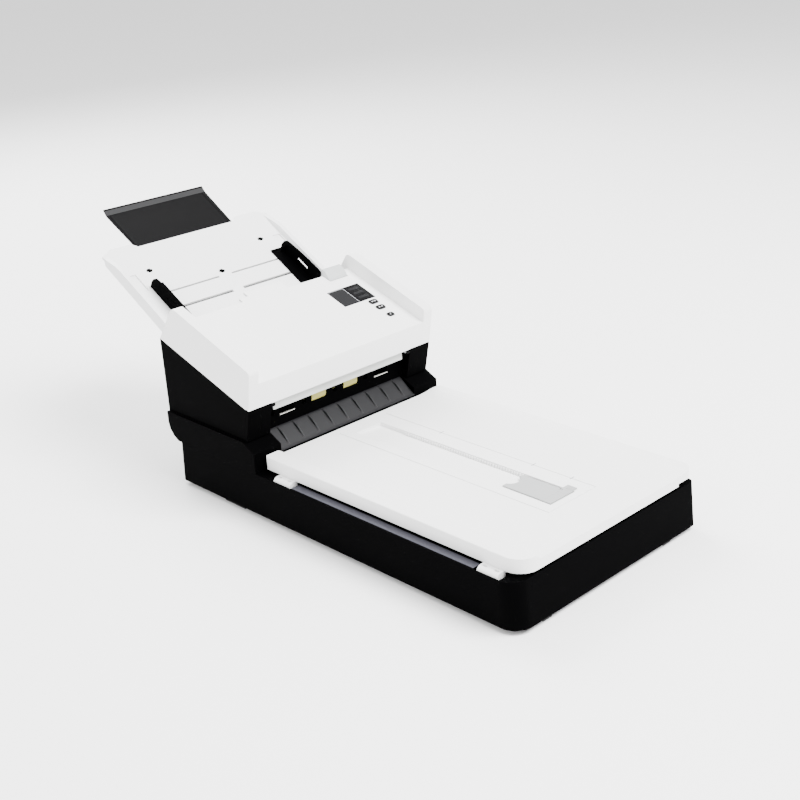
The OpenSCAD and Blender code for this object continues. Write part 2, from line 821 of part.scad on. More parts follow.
module tray_bottom() {
  color([0.9, 0.9, 0.9]) on_tower() on_tray() difference() {
    box(-109, 109, -45, 6, -13, -tray_thick);
    box(-107, 107, -43, 4.4, -11, -tray_thick + 1);
  }
}

// Fin profile in the sloping tray frame, [along, above]
module guide_fin() {
  difference() {
    slab_x(fin_x, fin_x + 1.8) polygon([[guide_high, 0.4], [guide_high, 9], [15, 15], [10, fin_height],
      [0, fin_height + 1.6],
      [-20, fin_height + 3.6], [-40, fin_height + 4.7], [guide_low - 6, fin_height + 5], [guide_low - 6,
        8], [guide_low + 4, 0.4]]);
    box(fin_x - 1, fin_x + 3, -42, -19, 9.6, 13.4);
  }
}

module paper_guide() {
  difference() {
    union() {
      slab_x(guide_inner, fin_x + 0.1) polygon([[guide_high, 0.4], [guide_high, 2.2], [-50, 2.2], [-54,
        0.4]]);
      guide_fin();
      box(fin_x - 6, fin_x + 0.1, 8, 9.6, 2, 12);
    }
    box(guide_inner - 1, guide_inner + 9, 12.5, 14, 1.2, 3);
  }
  box(stem_inner, stem_outer, slot_thin_v - 1, slot_thin_v + 1, -5.4, 1);
  box(stem_inner, stem_outer, slot_thick_v - 1.8, slot_thick_v + 1.8, -5.4, 1);
  box(stem_inner, stem_outer, slot_thin_v - 3, slot_thin_v + 3, -5.4, -3.4);
  box(stem_inner, stem_outer, slot_thick_v - 3.4, slot_thick_v + 3.4, -5.4, -3.4);
}

// Straight rack with narrow teeth, pointing to smaller v.
module rack_bar(phase) {
  translate([0, 0, rack_low]) linear_extrude(height = rack_high - rack_low) union() {
    translate([-stem_outer, 1.6]) square([stem_outer + 9, 3.6]);
    for (i = [-15:1])
      translate([(i + phase) * tooth_pitch, 0]) polygon([[-1.35, 1.7], [-0.35, -1.1], [0.35, -1.1], [1.35,
        1.7]]);
  }
}

module paper_guide_left() {
  color([0.08, 0.08, 0.085]) on_tower() on_tray() {
    mirror([1, 0, 0]) paper_guide();
    translate([0, pinion_v + pitch_radius, 0]) rack_bar(0.5);
    box(-stem_outer, -stem_inner, pinion_v + pitch_radius + 2, slot_thin_v + 1, rack_low, rack_high);
    box(-stem_outer, -stem_inner, slot_thin_v - 1, slot_thin_v + 1, rack_low, -5);
  }
}

module paper_guide_right() {
  color([0.08, 0.08, 0.085]) on_tower() on_tray() {
    paper_guide();
    translate([0, pinion_v - pitch_radius, 0]) rotate([0, 0, 180]) rack_bar(0.5);
    box(stem_inner, stem_outer, pinion_v - pitch_radius - 5, slot_thick_v + 1.8, rack_low, rack_high);
    box(stem_inner, stem_outer, slot_thick_v - 1.8, slot_thick_v + 1.8, rack_low, -5);
  }
}

module guide_pinion() {
  color([0.9, 0.9, 0.88]) on_tower() on_tray() translate([0, pinion_v, rack_low]) difference() {
    linear_extrude(height = rack_high - rack_low) union() {
      circle(r = pitch_radius - 1.7);
      for (i = [0:pinion_teeth - 1])
        rotate([0, 0, 90 + i * 360 / pinion_teeth]) polygon([[pitch_radius - 2.2, -1.05],
          [pitch_radius + 1.1, -0.4],
          [pitch_radius + 1.1, 0.4], [pitch_radius - 2.2, 1.05]]);
    }
    translate([0, 0, -1]) cylinder(h = 6, r = hinge_pin_radius + running_gap);
  }
}

module extension_plate() {
  reach = 90.4 + extension_reach;
  color([0.2, 0.2, 0.21]) on_tower() on_tray() {
    translate([0, 0, extension_low]) linear_extrude(height = extension_high - extension_low)
      polygon([[-86.7, 78], [86.7, 78], [86.7, 88], [81, 88], [83.4, reach], [-83.4, reach], [-81, 88],
        [-86.7, 88]]);
    slab_x(-83.4, 83.4) polygon([[reach - 0.2, extension_low], [reach + 9, extension_low + 3],
      [reach + 10.3, extension_low + 4.6],
      [reach + 9.6, extension_low + 5.2], [reach + 8, extension_low + 4.4], [reach - 0.2, extension_high]]);
    both_sides() box(76.8, 79.4, 92, reach - 2, extension_high - 0.2, extension_high + 0.8);
  }
}

// ---------- flatbed lid ----------

lid_profile = [[lid_left, lid_bottom], [lid_left, ridge_top - 0.8], [lid_left + 0.8, ridge_top],
  [lid_left + 21, ridge_top],
  [lid_left + 23.4, ridge_top - 0.9], [lid_left + 26.6, lid_top + 1], [lid_left + 29,
    lid_top], [half_width - 37, lid_top],
  [half_width - 24, lid_top + 0.9], [half_width - 14, lid_top + 2.6], [half_width - 7, lid_top + 4.6],
  [lid_right - 1, lid_top + 5.5], [lid_right, lid_top + 4.9], [lid_right, lid_bottom]];
lid_hollow = [[lid_left + 2.6, lid_bottom - 1], [lid_left + 2.6, ridge_top - lid_skin], [lid_left + 20,
  ridge_top - lid_skin],
  [lid_left + 28.2, lid_top - lid_skin], [half_width - 36, lid_top - lid_skin], [half_width - 14,
    lid_top - 0.4],
  [lid_right - 2.6, lid_top + 2], [lid_right - 2.6, lid_bottom - 1]];

module lid_plan(inset) {
  plan(lid_left + inset, lid_right - inset, lid_front + inset, lid_back - inset,
    front_left_round + 2 - inset,
    13 - inset, 14 - inset, 5 - inset);
}

module lid_shell() {
  color([0.93, 0.93, 0.93]) difference() {
    union() {
      difference() {
        intersection() {
          slab_y(lid_front - 1, lid_back + 1) polygon(lid_profile);
          translate([0, 0, lid_bottom - 1]) linear_extrude(height = 40) lid_plan(0);
        }
        intersection() {
          slab_y(lid_front - 1, lid_back + 1) polygon(lid_hollow);
          translate([0, 0, lid_bottom - 2]) linear_extrude(height = 40) lid_plan(2.6);
        }
      }
      box(recess_left - 2.5, recess_right + 3, recess_front - 2.5, recess_back + 2.5,
        lid_top - recess_depth - 1.8, lid_top - 1);
    }
    slab_y(recess_front, recess_back) polygon([[recess_left, lid_top + 2], [recess_left,
      lid_top - recess_shallow],
      [recess_right, lid_top - recess_depth], [recess_right, lid_top + 2]]);
    difference() {
      box(-33, 50, recess_front - 11, recess_back + 16, lid_top - 0.5, lid_top + 2);
      box(-32.1, 49.1, recess_front - 10.1, recess_back + 15.1, lid_top - 1, lid_top + 3);
    }
    for (y = [recess_front + 231.2, recess_front + 81.4, recess_front + 24.2])
      box(46.5, 49.6, y - 0.5, y + 0.5, lid_top - 0.5, lid_top + 2);
    slab_x(half_width - 32, half_width) polygon([[lid_front - 2, lid_bottom - 1], [lid_front - 2,
      lid_bottom + 3.4],
      [lid_front + 22, lid_bottom + 2.6], [lid_front + 34, lid_bottom - 1]]);
  }
  color([0.93, 0.93, 0.93]) for (i = [0:rack_teeth])
    box(recess_right - 2, recess_right + 0.2, rack_front + i * rack_pitch, rack_front + i * rack_pitch + 2,
      lid_top - recess_depth - 0.4, lid_top - 1.4);
}

module lid_liner() {
  color([0.9, 0.9, 0.9]) difference() {
    translate([0, 0, lid_bottom]) linear_extrude(height = 1.6) lid_plan(2.6);
    slab_x(half_width - 34, half_width) polygon([[lid_front - 2, lid_bottom - 1], [lid_front - 2,
      lid_bottom + 3.4],
      [lid_front + 24, lid_bottom + 2.6], [lid_front + 36, lid_bottom - 1]]);
  }
}

module lid_pad() {
  color([0.97, 0.97, 0.97])
    box(glass_left + 1, glass_right - 1, glass_front + 1, glass_back - 1, deck_height + small, lid_bottom);
}

module lid_barrel(y0, y1) {
  difference() {
    union() {
      rod_y(y0, y1, [hinge_x, hinge_z], barrel_radius);
      box(hinge_x, lid_left + 16, y0, y1, deck_height + 0.6, lid_bottom);
    }
    rod_y(y0 - 1, y1 + 1, [hinge_x, hinge_z], hinge_pin_radius + running_gap);
    box(hinge_x - 1.4, hinge_x + 1.4, y0 + 3, y0 + 9, hinge_z + 4.4, hinge_z + 9);
    box(hinge_x - 1.4, hinge_x + 1.4, y1 - 9, y1 - 3, hinge_z + 4.4, hinge_z + 9);
  }
}

module lid_hinges() {
  color([0.93, 0.93, 0.93]) {
    lid_barrel(pocket_rear + 4, pocket_rear + pocket_rear_length - 4);
    lid_barrel(pocket_front + 4, pocket_front + pocket_front_length - 4);
  }
}

module stopper_slider() {
  color([0.84, 0.84, 0.84]) difference() {
    union() {
      slab_y(recess_front + 0.6, recess_front + 16.6) polygon([[recess_left + 0.4,
        lid_top - recess_shallow + 0.35],
        [recess_right - 2.4, lid_top - recess_depth + 0.5], [recess_right - 2.4,
          lid_top + 1.4], [recess_left + 0.4, lid_top + 1.4]]);
      box(recess_right - 3, recess_right + 7, recess_front + 2, recess_front + 15, lid_top + 0.35,
        lid_top + 1.4);
      for (y = [recess_front + 3, recess_front + 6, recess_front + 9])
        box(recess_right - 2, recess_right + 6, y, y + 1, lid_top + 1.3, lid_top + 1.8);
    }
    box(recess_left + 3, recess_right - 5.4, stopper_hinge_y - 2.2, stopper_hinge_y + 10, lid_top - 8,
      lid_top + 4);
    rod_x(recess_left - 1, recess_right, [stopper_hinge_y, stopper_hinge_z], flap_pin_radius + running_gap);
  }
}

module stopper_flap() {
  color([0.84, 0.84, 0.84]) {
    rod_x(recess_left + 1, recess_right - 3, [stopper_hinge_y, stopper_hinge_z], flap_pin_radius);
    rod_x(recess_left + 3.3, recess_right - 5.7, [stopper_hinge_y, stopper_hinge_z], 1.6);
    translate([0, 0, lid_top - 1.7]) linear_extrude(height = 1.6) difference() {
      union() {
        translate([recess_left + 3.3, stopper_hinge_y]) square([recess_right - recess_left - 9, 8]);
        translate([recess_left + 3, stopper_hinge_y + 3.8])
          square([recess_right - recess_left - 6.4, flap_length - 2.8]);
      }
      translate([(recess_left + recess_right) / 2, stopper_hinge_y + flap_length + 5]) circle(r = 12);
    }
  }
}

// ---------- feeder cover ----------

module panel_hole(s, w, d, grow) {
  on_panel() translate([button_x, s, -6]) linear_extrude(height = 12) rounded_tile(w + grow, d + grow,
    3.4 + grow / 2);
}

module latch_ear(x0) {
  slab_x(x0, x0 + 3.6) polygon([[258, 207], [265.4, 207], [268.2, 217.2], [267.9, 219.5], [258, 216.5]]);
}

module adf_cover() {
  color([0.93, 0.93, 0.93]) on_tower() difference() {
    union() {
      difference() {
        union() {
          slab_x(cheek_x, side_x) polygon(cheek_profile);
          mirror([1, 0, 0]) slab_x(cheek_x, side_x) polygon(cheek_profile);
          slab_x(-cheek_x, cheek_x) polygon(panel_profile);
        }
        both_sides() slab_x(cheek_x + 2.4, side_x - 2.4) polygon(cheek_hollow);
        slab_x(-cheek_x, cheek_x) polygon(panel_hollow);
      }
      slab_x(-30, 32) polygon(tab_profile);
      slab_x(-44.5, -29) polygon([[268, 221.2], [279, 225], [279, 222.2], [268, 218.4]]);
      latch_ear(latch_left - 4);
      latch_ear(latch_right + 0.4);
    }
    both_sides() rod_x(pillar_x - 0.4, side_x + 1, cover_axis, 5);
    both_sides() rod_x(pillar_x - 6, pillar_x, cover_axis, 3.8);
    box(latch_left - 0.4, latch_right + 0.4, 257.1, 290, 205, 240);
    rod_x(latch_left - 3.4, latch_right + 3.4, latch_axis, latch_pin_radius + running_gap);
    panel_hole(scan_button_s, 14, 9, 0.7);
    panel_hole(copy_button_s, 14, 9, 0.7);
    panel_hole(power_button_s, 11, 8, 0.7);
    on_panel() box(screen_left, screen_right, screen_low, screen_high, -screen_depth, 3);
    on_panel() box(screen_left + 4, screen_right - 4, screen_low + 4, screen_high - 4, -8, 3);
  }
}

module upper_guide_rib(x0, top) {
  slab_x(x0, x0 + 5) polygon([[146, 135], [160, 130.4], [235, 161.8], [250, 169], [250, top + 212.033],
    [146, top + 176.199]]);
}

module hinge_ear(x0) {
  difference() {
    slab_x(x0, x0 + 5) union() {
      translate(cover_axis) circle(r = 3.4);
      polygon([[137.8, 133.7], [160, 130.4], [235, 161.8], [235, 170], [150, 158], [150, 141], [137.8,
        140.3]]);
    }
    rod_x(x0 - 1, x0 + 6, cover_axis, cover_pin_radius + running_gap);
  }
}

module upper_guide() {
  color([0.12, 0.12, 0.125]) on_tower() difference() {
    union() {
      slab_x(-pillar_x + 0.5, pillar_x - 0.5)
        polygon([[157.5, 130.4], [158, 132.8], [164.4, 134], [235, 163.6], [254, 172.9], [255, 170.9],
          [235, 161.3], [165, 131.6]]);
      box(-pillar_x + 4, pillar_x - 4, 141, 147, 138.6, 141.6);
      upper_guide_rib(-pillar_x + 0.5, 0);
      upper_guide_rib(-62, 0);
      upper_guide_rib(50, 0);
      upper_guide_rib(pillar_x - 5.5, -16);
      hinge_ear(-pillar_x + 0.5);
      hinge_ear(pillar_x - 5.5);
      both_sides() slab_x(41.5, 44.5) polygon([[157.6, 131], [157.6, 139], [166.4, 139], [166.4, 134.5],
        [164, 132]]);
      both_sides() slab_x(24, 27) polygon([[218, 155.5], [222, 174.5], [235, 174.5], [240, 165]]);
    }
    both_sides() box(14.2, 40.2, 150, 171, 125, 145);
    box(-23, 23, 214, 243, 150, 190);
    rod_x(-48, 48, pinch_axis, 1.5 + running_gap);
    rod_x(-28, 28, retard_axis, 2 + running_gap);
    translate([0, 185, 140.6]) rotate([22.77, 0, 0]) box(-109, 109, -8.4, 8.4, -8, 13.3);
  }
}

module cis_upper() {
  color([0.16, 0.17, 0.18]) on_tower() translate([0, 185, 140.6]) rotate([22.77, 0, 0]) difference() {
    box(-109, 109, -8, 8, 0, 13.3);
    box(-106, 106, -3, 3, -1, 1);
  }
}

module exit_film() {
  color([0.85, 0.86, 0.84, 0.6]) on_tower() {
    box(-pillar_x + 8, pillar_x - 8, 142, 143, 126.5, 138.6);
  }
}

module display_window() {
  color([0.1, 0.11, 0.12]) on_tower() on_panel()
    box(screen_left + 0.2, screen_right - 0.2, screen_low + 0.2, screen_high - 0.2, -screen_depth, -0.1);
}

module control_board() {
  color([0.05, 0.32, 0.16]) on_tower() on_panel() {
    box(half_width - 96, cheek_x, 28, 120, -11.6, -10);
    box(screen_left + 5, screen_right - 5, screen_low + 5, screen_high - 5, -10, -screen_depth);
    for (s = [scan_button_s, copy_button_s, power_button_s])
      box(button_x - 3, button_x + 3, s - 3, s + 3, -10, -7.6);
  }
}

module panel_button(s, w, d) {
  on_tower() on_panel() translate([button_x, s, 0]) {
    translate([0, 0, -4.6]) linear_extrude(height = 5.2) rounded_tile(w, d, 3.4);
    translate([0, 0, 0.5]) linear_extrude(height = 0.5) rounded_tile(w - 1, d - 1, 3);
    translate([0, 0, -6]) linear_extrude(height = 1.6) rounded_tile(w + 1.6, d + 1.6, 3);
  }
}

module button_scan() {
  color([0.9, 0.9, 0.9]) panel_button(scan_button_s, 14, 9);
}

module button_copy() {
  color([0.9, 0.9, 0.9]) panel_button(copy_button_s, 14, 9);
}

module button_power() {
  color([0.9, 0.9, 0.9]) panel_button(power_button_s, 11, 8);
}

module release_latch() {
  color([0.82, 0.83, 0.82, 0.8]) on_tower() {
    slab_x(latch_left, latch_right) polygon(latch_profile);
    rod_x(latch_left - 3, latch_right + 3, latch_axis, latch_pin_radius);
  }
}

module pinch_rollers() {
  color([0.85, 0.85, 0.8]) on_tower() {
    both_sides() rod_x(15.6, 38.8, pinch_axis, pinch_radius);
    rod_x(-46, 46, pinch_axis, 1.5);
  }
}

module retard_roller() {
  color([0.25, 0.26, 0.28]) on_tower() {
    rod_x(-22, 22, retard_axis, retard_radius);
    rod_x(-27.6, 27.6, retard_axis, 2);
  }
}
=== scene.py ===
"""Looks of a combined flatbed and sheet fed document scanner.

The CAD frame gives every moving and fixed part. This script dresses each node in a
moulded, cast or machined finish, adds the small fittings that are not part of the
mechanism, and sets up a plain studio. Lengths are in metres unless a name ends in _mm.
"""

import logging
import math
from dataclasses import dataclass, field
from enum import Enum

import bmesh
import bpy
from mathutils import Matrix, Vector


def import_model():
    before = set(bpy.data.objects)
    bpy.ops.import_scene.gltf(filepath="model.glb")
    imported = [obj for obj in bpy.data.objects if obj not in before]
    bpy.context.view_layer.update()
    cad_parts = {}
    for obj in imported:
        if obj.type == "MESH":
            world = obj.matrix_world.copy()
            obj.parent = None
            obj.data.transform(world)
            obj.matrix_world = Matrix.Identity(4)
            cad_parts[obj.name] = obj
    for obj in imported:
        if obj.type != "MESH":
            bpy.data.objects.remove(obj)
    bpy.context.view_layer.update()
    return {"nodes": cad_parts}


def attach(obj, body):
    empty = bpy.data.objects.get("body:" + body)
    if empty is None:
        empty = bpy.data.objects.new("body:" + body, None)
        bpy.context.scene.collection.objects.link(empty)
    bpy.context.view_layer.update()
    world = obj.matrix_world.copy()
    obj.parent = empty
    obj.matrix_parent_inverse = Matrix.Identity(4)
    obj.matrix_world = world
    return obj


LOG = logging.getLogger("scanner")
Colour = tuple[float, float, float]
Point = tuple[float, float, float]
Outline = list[tuple[float, float]]

# How far an inlaid mark reaches below its face, and how far it stands above it.
SUNK = 0.0002
PROUD = 0.0001

# The moulded surface: grain, slow flow marks and a painted highlight on its edges, which on the
# glass is its green edge tint.
GRAIN_DETAIL = 3.0
GRAIN_HEIGHT = 0.0003
FLOW_SCALE = 22.0
FLOW_DETAIL = 4.0
EDGE_SAMPLES = 4
EDGE_FLAT = 0.995
EDGE_SHARP = 0.8
EDGE_HIGHLIGHT_AND_TINT = 0.55
COAT_ROUGHNESS = 0.08

# The machined surface: fine lines, drawn out round the turning axis.
BRUSH_SCALE = (2600.0, 60.0, 60.0)
BRUSH_SPREAD = 0.15
BRUSH_HEIGHT = 0.0001

SURFACE_OUTPUTS = {
    "Colour": "NodeSocketColor",
    "Roughness": "NodeSocketFloat",
    "Normal": "NodeSocketVector",
}


class Body(Enum):
    """Rigid bodies of the frame that the added fittings ride on."""

    HOUSING = "main_housing"
    LID = "flatbed_lid"
    COVER = "feeder_cover"
    EXTENSION = "extension"
    SCAN_BUTTON = "scan_button"
    COPY_BUTTON = "copy_button"
    POWER_BUTTON = "power_button"


# ---------------------------------------------------------------- finishes


def _link(
    tree: bpy.types.NodeTree,
    source: bpy.types.NodeSocket,
    target: bpy.types.NodeSocket,
) -> None:
    """Join two sockets of one node tree.

    Args:
        tree: The tree that holds both sockets.
        source: The output socket.
        target: The input socket.
    """
    tree.links.new(source, target)


def _new_group(name: str, inputs: dict[str, object]) -> bpy.types.NodeTree:
    """Start a shader node group with named inputs and the usual surface outputs.

    Args:
        name: The group's name.
        inputs: Socket names with their default values; a tuple makes a colour socket.

    Returns:
        The new group, holding only its two end nodes, called "in" and "out".
    """
    tree = bpy.data.node_groups.new(name, "ShaderNodeTree")
    for label, value in inputs.items():
        kind = "NodeSocketColor" if isinstance(value, tuple) else "NodeSocketFloat"
        socket = tree.interface.new_socket(name=label, in_out="INPUT", socket_type=kind)
        socket.default_value = (*value, 1.0) if isinstance(value, tuple) else value
    for label, kind in SURFACE_OUTPUTS.items():
        tree.interface.new_socket(name=label, in_out="OUTPUT", socket_type=kind)
    tree.nodes.new("NodeGroupInput").name = "in"
    tree.nodes.new("NodeGroupOutput").name = "out"
    return tree


def build_mould_group() -> bpy.types.NodeTree:
    """Build the moulded surface effect.

    It adds a fine spark grain, slow flow marks, softened edges and a painted highlight on them; on
    the glass the edge colour is its green tint instead.

    Returns:
        A group with Colour, Roughness and Normal outputs.
    """
    tree = _new_group(
        "moulded_surface",
        {
            "Colour": (0.8, 0.8, 0.8),
            "Flow Colour": (0.75, 0.75, 0.75),
            "Edge Highlight And Tint": (0.9, 0.9, 0.9),
            "Roughness": 0.4,
            "Roughness Spread": 0.1,
            "Grain Scale": 1400.0,
            "Grain Depth": 0.1,
            "Edge Radius": 0.0007,
        },
    )
    nodes = tree.nodes
    start, end = nodes["in"], nodes["out"]
    place = nodes.new("ShaderNodeTexCoord")
    grain = nodes.new("ShaderNodeTexNoise")
    grain.inputs["Detail"].default_value = GRAIN_DETAIL
    flow = nodes.new("ShaderNodeTexNoise")
    flow.inputs["Scale"].default_value = FLOW_SCALE
    flow.inputs["Detail"].default_value = FLOW_DETAIL
    _link(tree, place.outputs["Object"], grain.inputs["Vector"])
    _link(tree, place.outputs["Object"], flow.inputs["Vector"])
    _link(tree, start.outputs["Grain Scale"], grain.inputs["Scale"])

    soft = nodes.new("ShaderNodeBevel")
    soft.samples = EDGE_SAMPLES
    _link(tree, start.outputs["Edge Radius"], soft.inputs["Radius"])
    flat = nodes.new("ShaderNodeNewGeometry")
    turn = nodes.new("ShaderNodeVectorMath")
    turn.operation = "DOT_PRODUCT"
    _link(tree, soft.outputs["Normal"], turn.inputs[0])
    _link(tree, flat.outputs["Normal"], turn.inputs[1])
    # Edge mask: where the softened normal turns away from the true one.
    edge = nodes.new("ShaderNodeMapRange")
    edge.inputs["From Min"].default_value = EDGE_FLAT
    edge.inputs["From Max"].default_value = EDGE_SHARP
    edge.inputs["To Max"].default_value = EDGE_HIGHLIGHT_AND_TINT
    _link(tree, turn.outputs["Value"], edge.inputs["Value"])

    streak = nodes.new("ShaderNodeMix")
    streak.data_type = "RGBA"
    _link(tree, flow.outputs["Fac"], streak.inputs["Factor"])
    _link(tree, start.outputs["Colour"], streak.inputs["A"])
    _link(tree, start.outputs["Flow Colour"], streak.inputs["B"])
    # Painted highlight: the edge colour mixed in along the edges; on the glass it is the real green
    # edge tint.
    edge_highlight_and_tint = nodes.new("ShaderNodeMix")
    edge_highlight_and_tint.data_type = "RGBA"
    _link(tree, edge.outputs["Result"], edge_highlight_and_tint.inputs["Factor"])
    _link(tree, streak.outputs["Result"], edge_highlight_and_tint.inputs["A"])
    _link(tree, start.outputs["Edge Highlight And Tint"], edge_highlight_and_tint.inputs["B"])
    _link(tree, edge_highlight_and_tint.outputs["Result"], end.inputs["Colour"])

    spread = nodes.new("ShaderNodeMath")
    spread.operation = "MULTIPLY_ADD"
    _link(tree, grain.outputs["Fac"], spread.inputs[0])
    _link(tree, start.outputs["Roughness Spread"], spread.inputs[1])
    _link(tree, start.outputs["Roughness"], spread.inputs[2])
    _link(tree, spread.outputs["Value"], end.inputs["Roughness"])

    bump = nodes.new("ShaderNodeBump")
    bump.inputs["Distance"].default_value = GRAIN_HEIGHT
    _link(tree, start.outputs["Grain Depth"], bump.inputs["Strength"])
    _link(tree, grain.outputs["Fac"], bump.inputs["Height"])
    _link(tree, soft.outputs["Normal"], bump.inputs["Normal"])
    _link(tree, bump.outputs["Normal"], end.inputs["Normal"])
    return tree


def build_brush_group() -> bpy.types.NodeTree:
    """Build the machined metal effect: fine lines round the turning axis X.

    Returns:
        A group with Colour, Roughness and Normal outputs.
    """
    tree = _new_group(
        "machined_surface",
        {
            "Colour": (0.6, 0.6, 0.62),
            "Line Colour": (0.45, 0.45, 0.47),
            "Roughness": 0.22,
            "Line Depth": 0.15,
        },
    )
    nodes = tree.nodes
    start, end = nodes["in"], nodes["out"]
    place = nodes.new("ShaderNodeTexCoord")
    squeeze = nodes.new("ShaderNodeMapping")
    squeeze.inputs["Scale"].default_value = BRUSH_SCALE
    lines = nodes.new("ShaderNodeTexNoise")
    lines.inputs["Scale"].default_value = 1.0
    _link(tree, place.outputs["Object"], squeeze.inputs["Vector"])
    _link(tree, squeeze.outputs["Vector"], lines.inputs["Vector"])
    tint = nodes.new("ShaderNodeMix")
    tint.data_type = "RGBA"
    _link(tree, lines.outputs["Fac"], tint.inputs["Factor"])
    _link(tree, start.outputs["Colour"], tint.inputs["A"])
    _link(tree, start.outputs["Line Colour"], tint.inputs["B"])
    _link(tree, tint.outputs["Result"], end.inputs["Colour"])
    rough = nodes.new("ShaderNodeMath")
    rough.operation = "MULTIPLY_ADD"
    rough.inputs[1].default_value = BRUSH_SPREAD
    _link(tree, lines.outputs["Fac"], rough.inputs[0])
    _link(tree, start.outputs["Roughness"], rough.inputs[2])
    _link(tree, rough.outputs["Value"], end.inputs["Roughness"])
    bump = nodes.new("ShaderNodeBump")
    bump.inputs["Distance"].default_value = BRUSH_HEIGHT
    _link(tree, start.outputs["Line Depth"], bump.inputs["Strength"])
    _link(tree, lines.outputs["Fac"], bump.inputs["Height"])
    _link(tree, bump.outputs["Normal"], end.inputs["Normal"])
    return tree


def _start_material(
    name: str, group: bpy.types.NodeTree, values: dict[str, object]
) -> tuple[bpy.types.Material, bpy.types.Node]:
    """Start a material whose colour, roughness and normal come from a surface group.

    Args:
        name: The material's name.
        group: The surface group.
        values: The group's inputs by name; a tuple is a colour.

    Returns:
        The material and its shader, for the values that the group does not give.
    """
    material = bpy.data.materials.new(name)
    material.use_nodes = True
    tree = material.node_tree
    shader = tree.nodes["Principled BSDF"]
    surface = tree.nodes.new("ShaderNodeGroup")
    surface.node_tree = group
    for label, value in values.items():
        surface.inputs[label].default_value = (*value, 1.0) if isinstance(value, tuple) else value
    _link(tree, surface.outputs["Colour"], shader.inputs["Base Color"])
    _link(tree, surface.outputs["Roughness"], shader.inputs["Roughness"])
    _link(tree, surface.outputs["Normal"], shader.inputs["Normal"])
    return material, shader


@dataclass(frozen=True)
class Moulded:
    """A moulded plastic or rubber finish with grain, flow marks and softened edges with a painted
    highlight on them.
    """

    name: str
    colour: Colour
    flow: Colour
    # Painted highlight colour along the softened edges; the glass's edge colour is its green tint.
    edge: Colour
    roughness: float = 0.4
    spread: float = 0.1
    grain: float = 1400.0
    depth: float = 0.1
    edge_radius: float = 0.0007
    specular: float = 0.5
    coat: float = 0.0
    transmission: float = 0.0

    def make(self, group: bpy.types.NodeTree) -> bpy.types.Material:
        """Make the material.

        Args:
            group: The moulded surface group.

        Returns:
            The finished material.
        """
        values = {
            "Colour": self.colour,
            "Flow Colour": self.flow,
            "Edge Highlight And Tint": self.edge,
            "Roughness": self.roughness,
            "Roughness Spread": self.spread,
            "Grain Scale": self.grain,
            "Grain Depth": self.depth,
            "Edge Radius": self.edge_radius,
        }
        material, shader = _start_material(self.name, group, values)
        shader.inputs["Specular IOR Level"].default_value = self.specular
        shader.inputs["Coat Weight"].default_value = self.coat
        shader.inputs["Coat Roughness"].default_value = COAT_ROUGHNESS
        shader.inputs["Transmission Weight"].default_value = self.transmission
        return material


@dataclass(frozen=True)
class Machined:
    """A turned or drawn metal finish."""

    name: str
    colour: Colour
    line: Colour
    roughness: float = 0.22

    def make(self, group: bpy.types.NodeTree) -> bpy.types.Material:
        """Make the material.

        Args:
            group: The machined surface group.

        Returns:
            The finished material.
        """
        values = {
            "Colour": self.colour,
            "Line Colour": self.line,
            "Roughness": self.roughness,
        }
        material, shader = _start_material(self.name, group, values)
        shader.inputs["Metallic"].default_value = 1.0
        return material


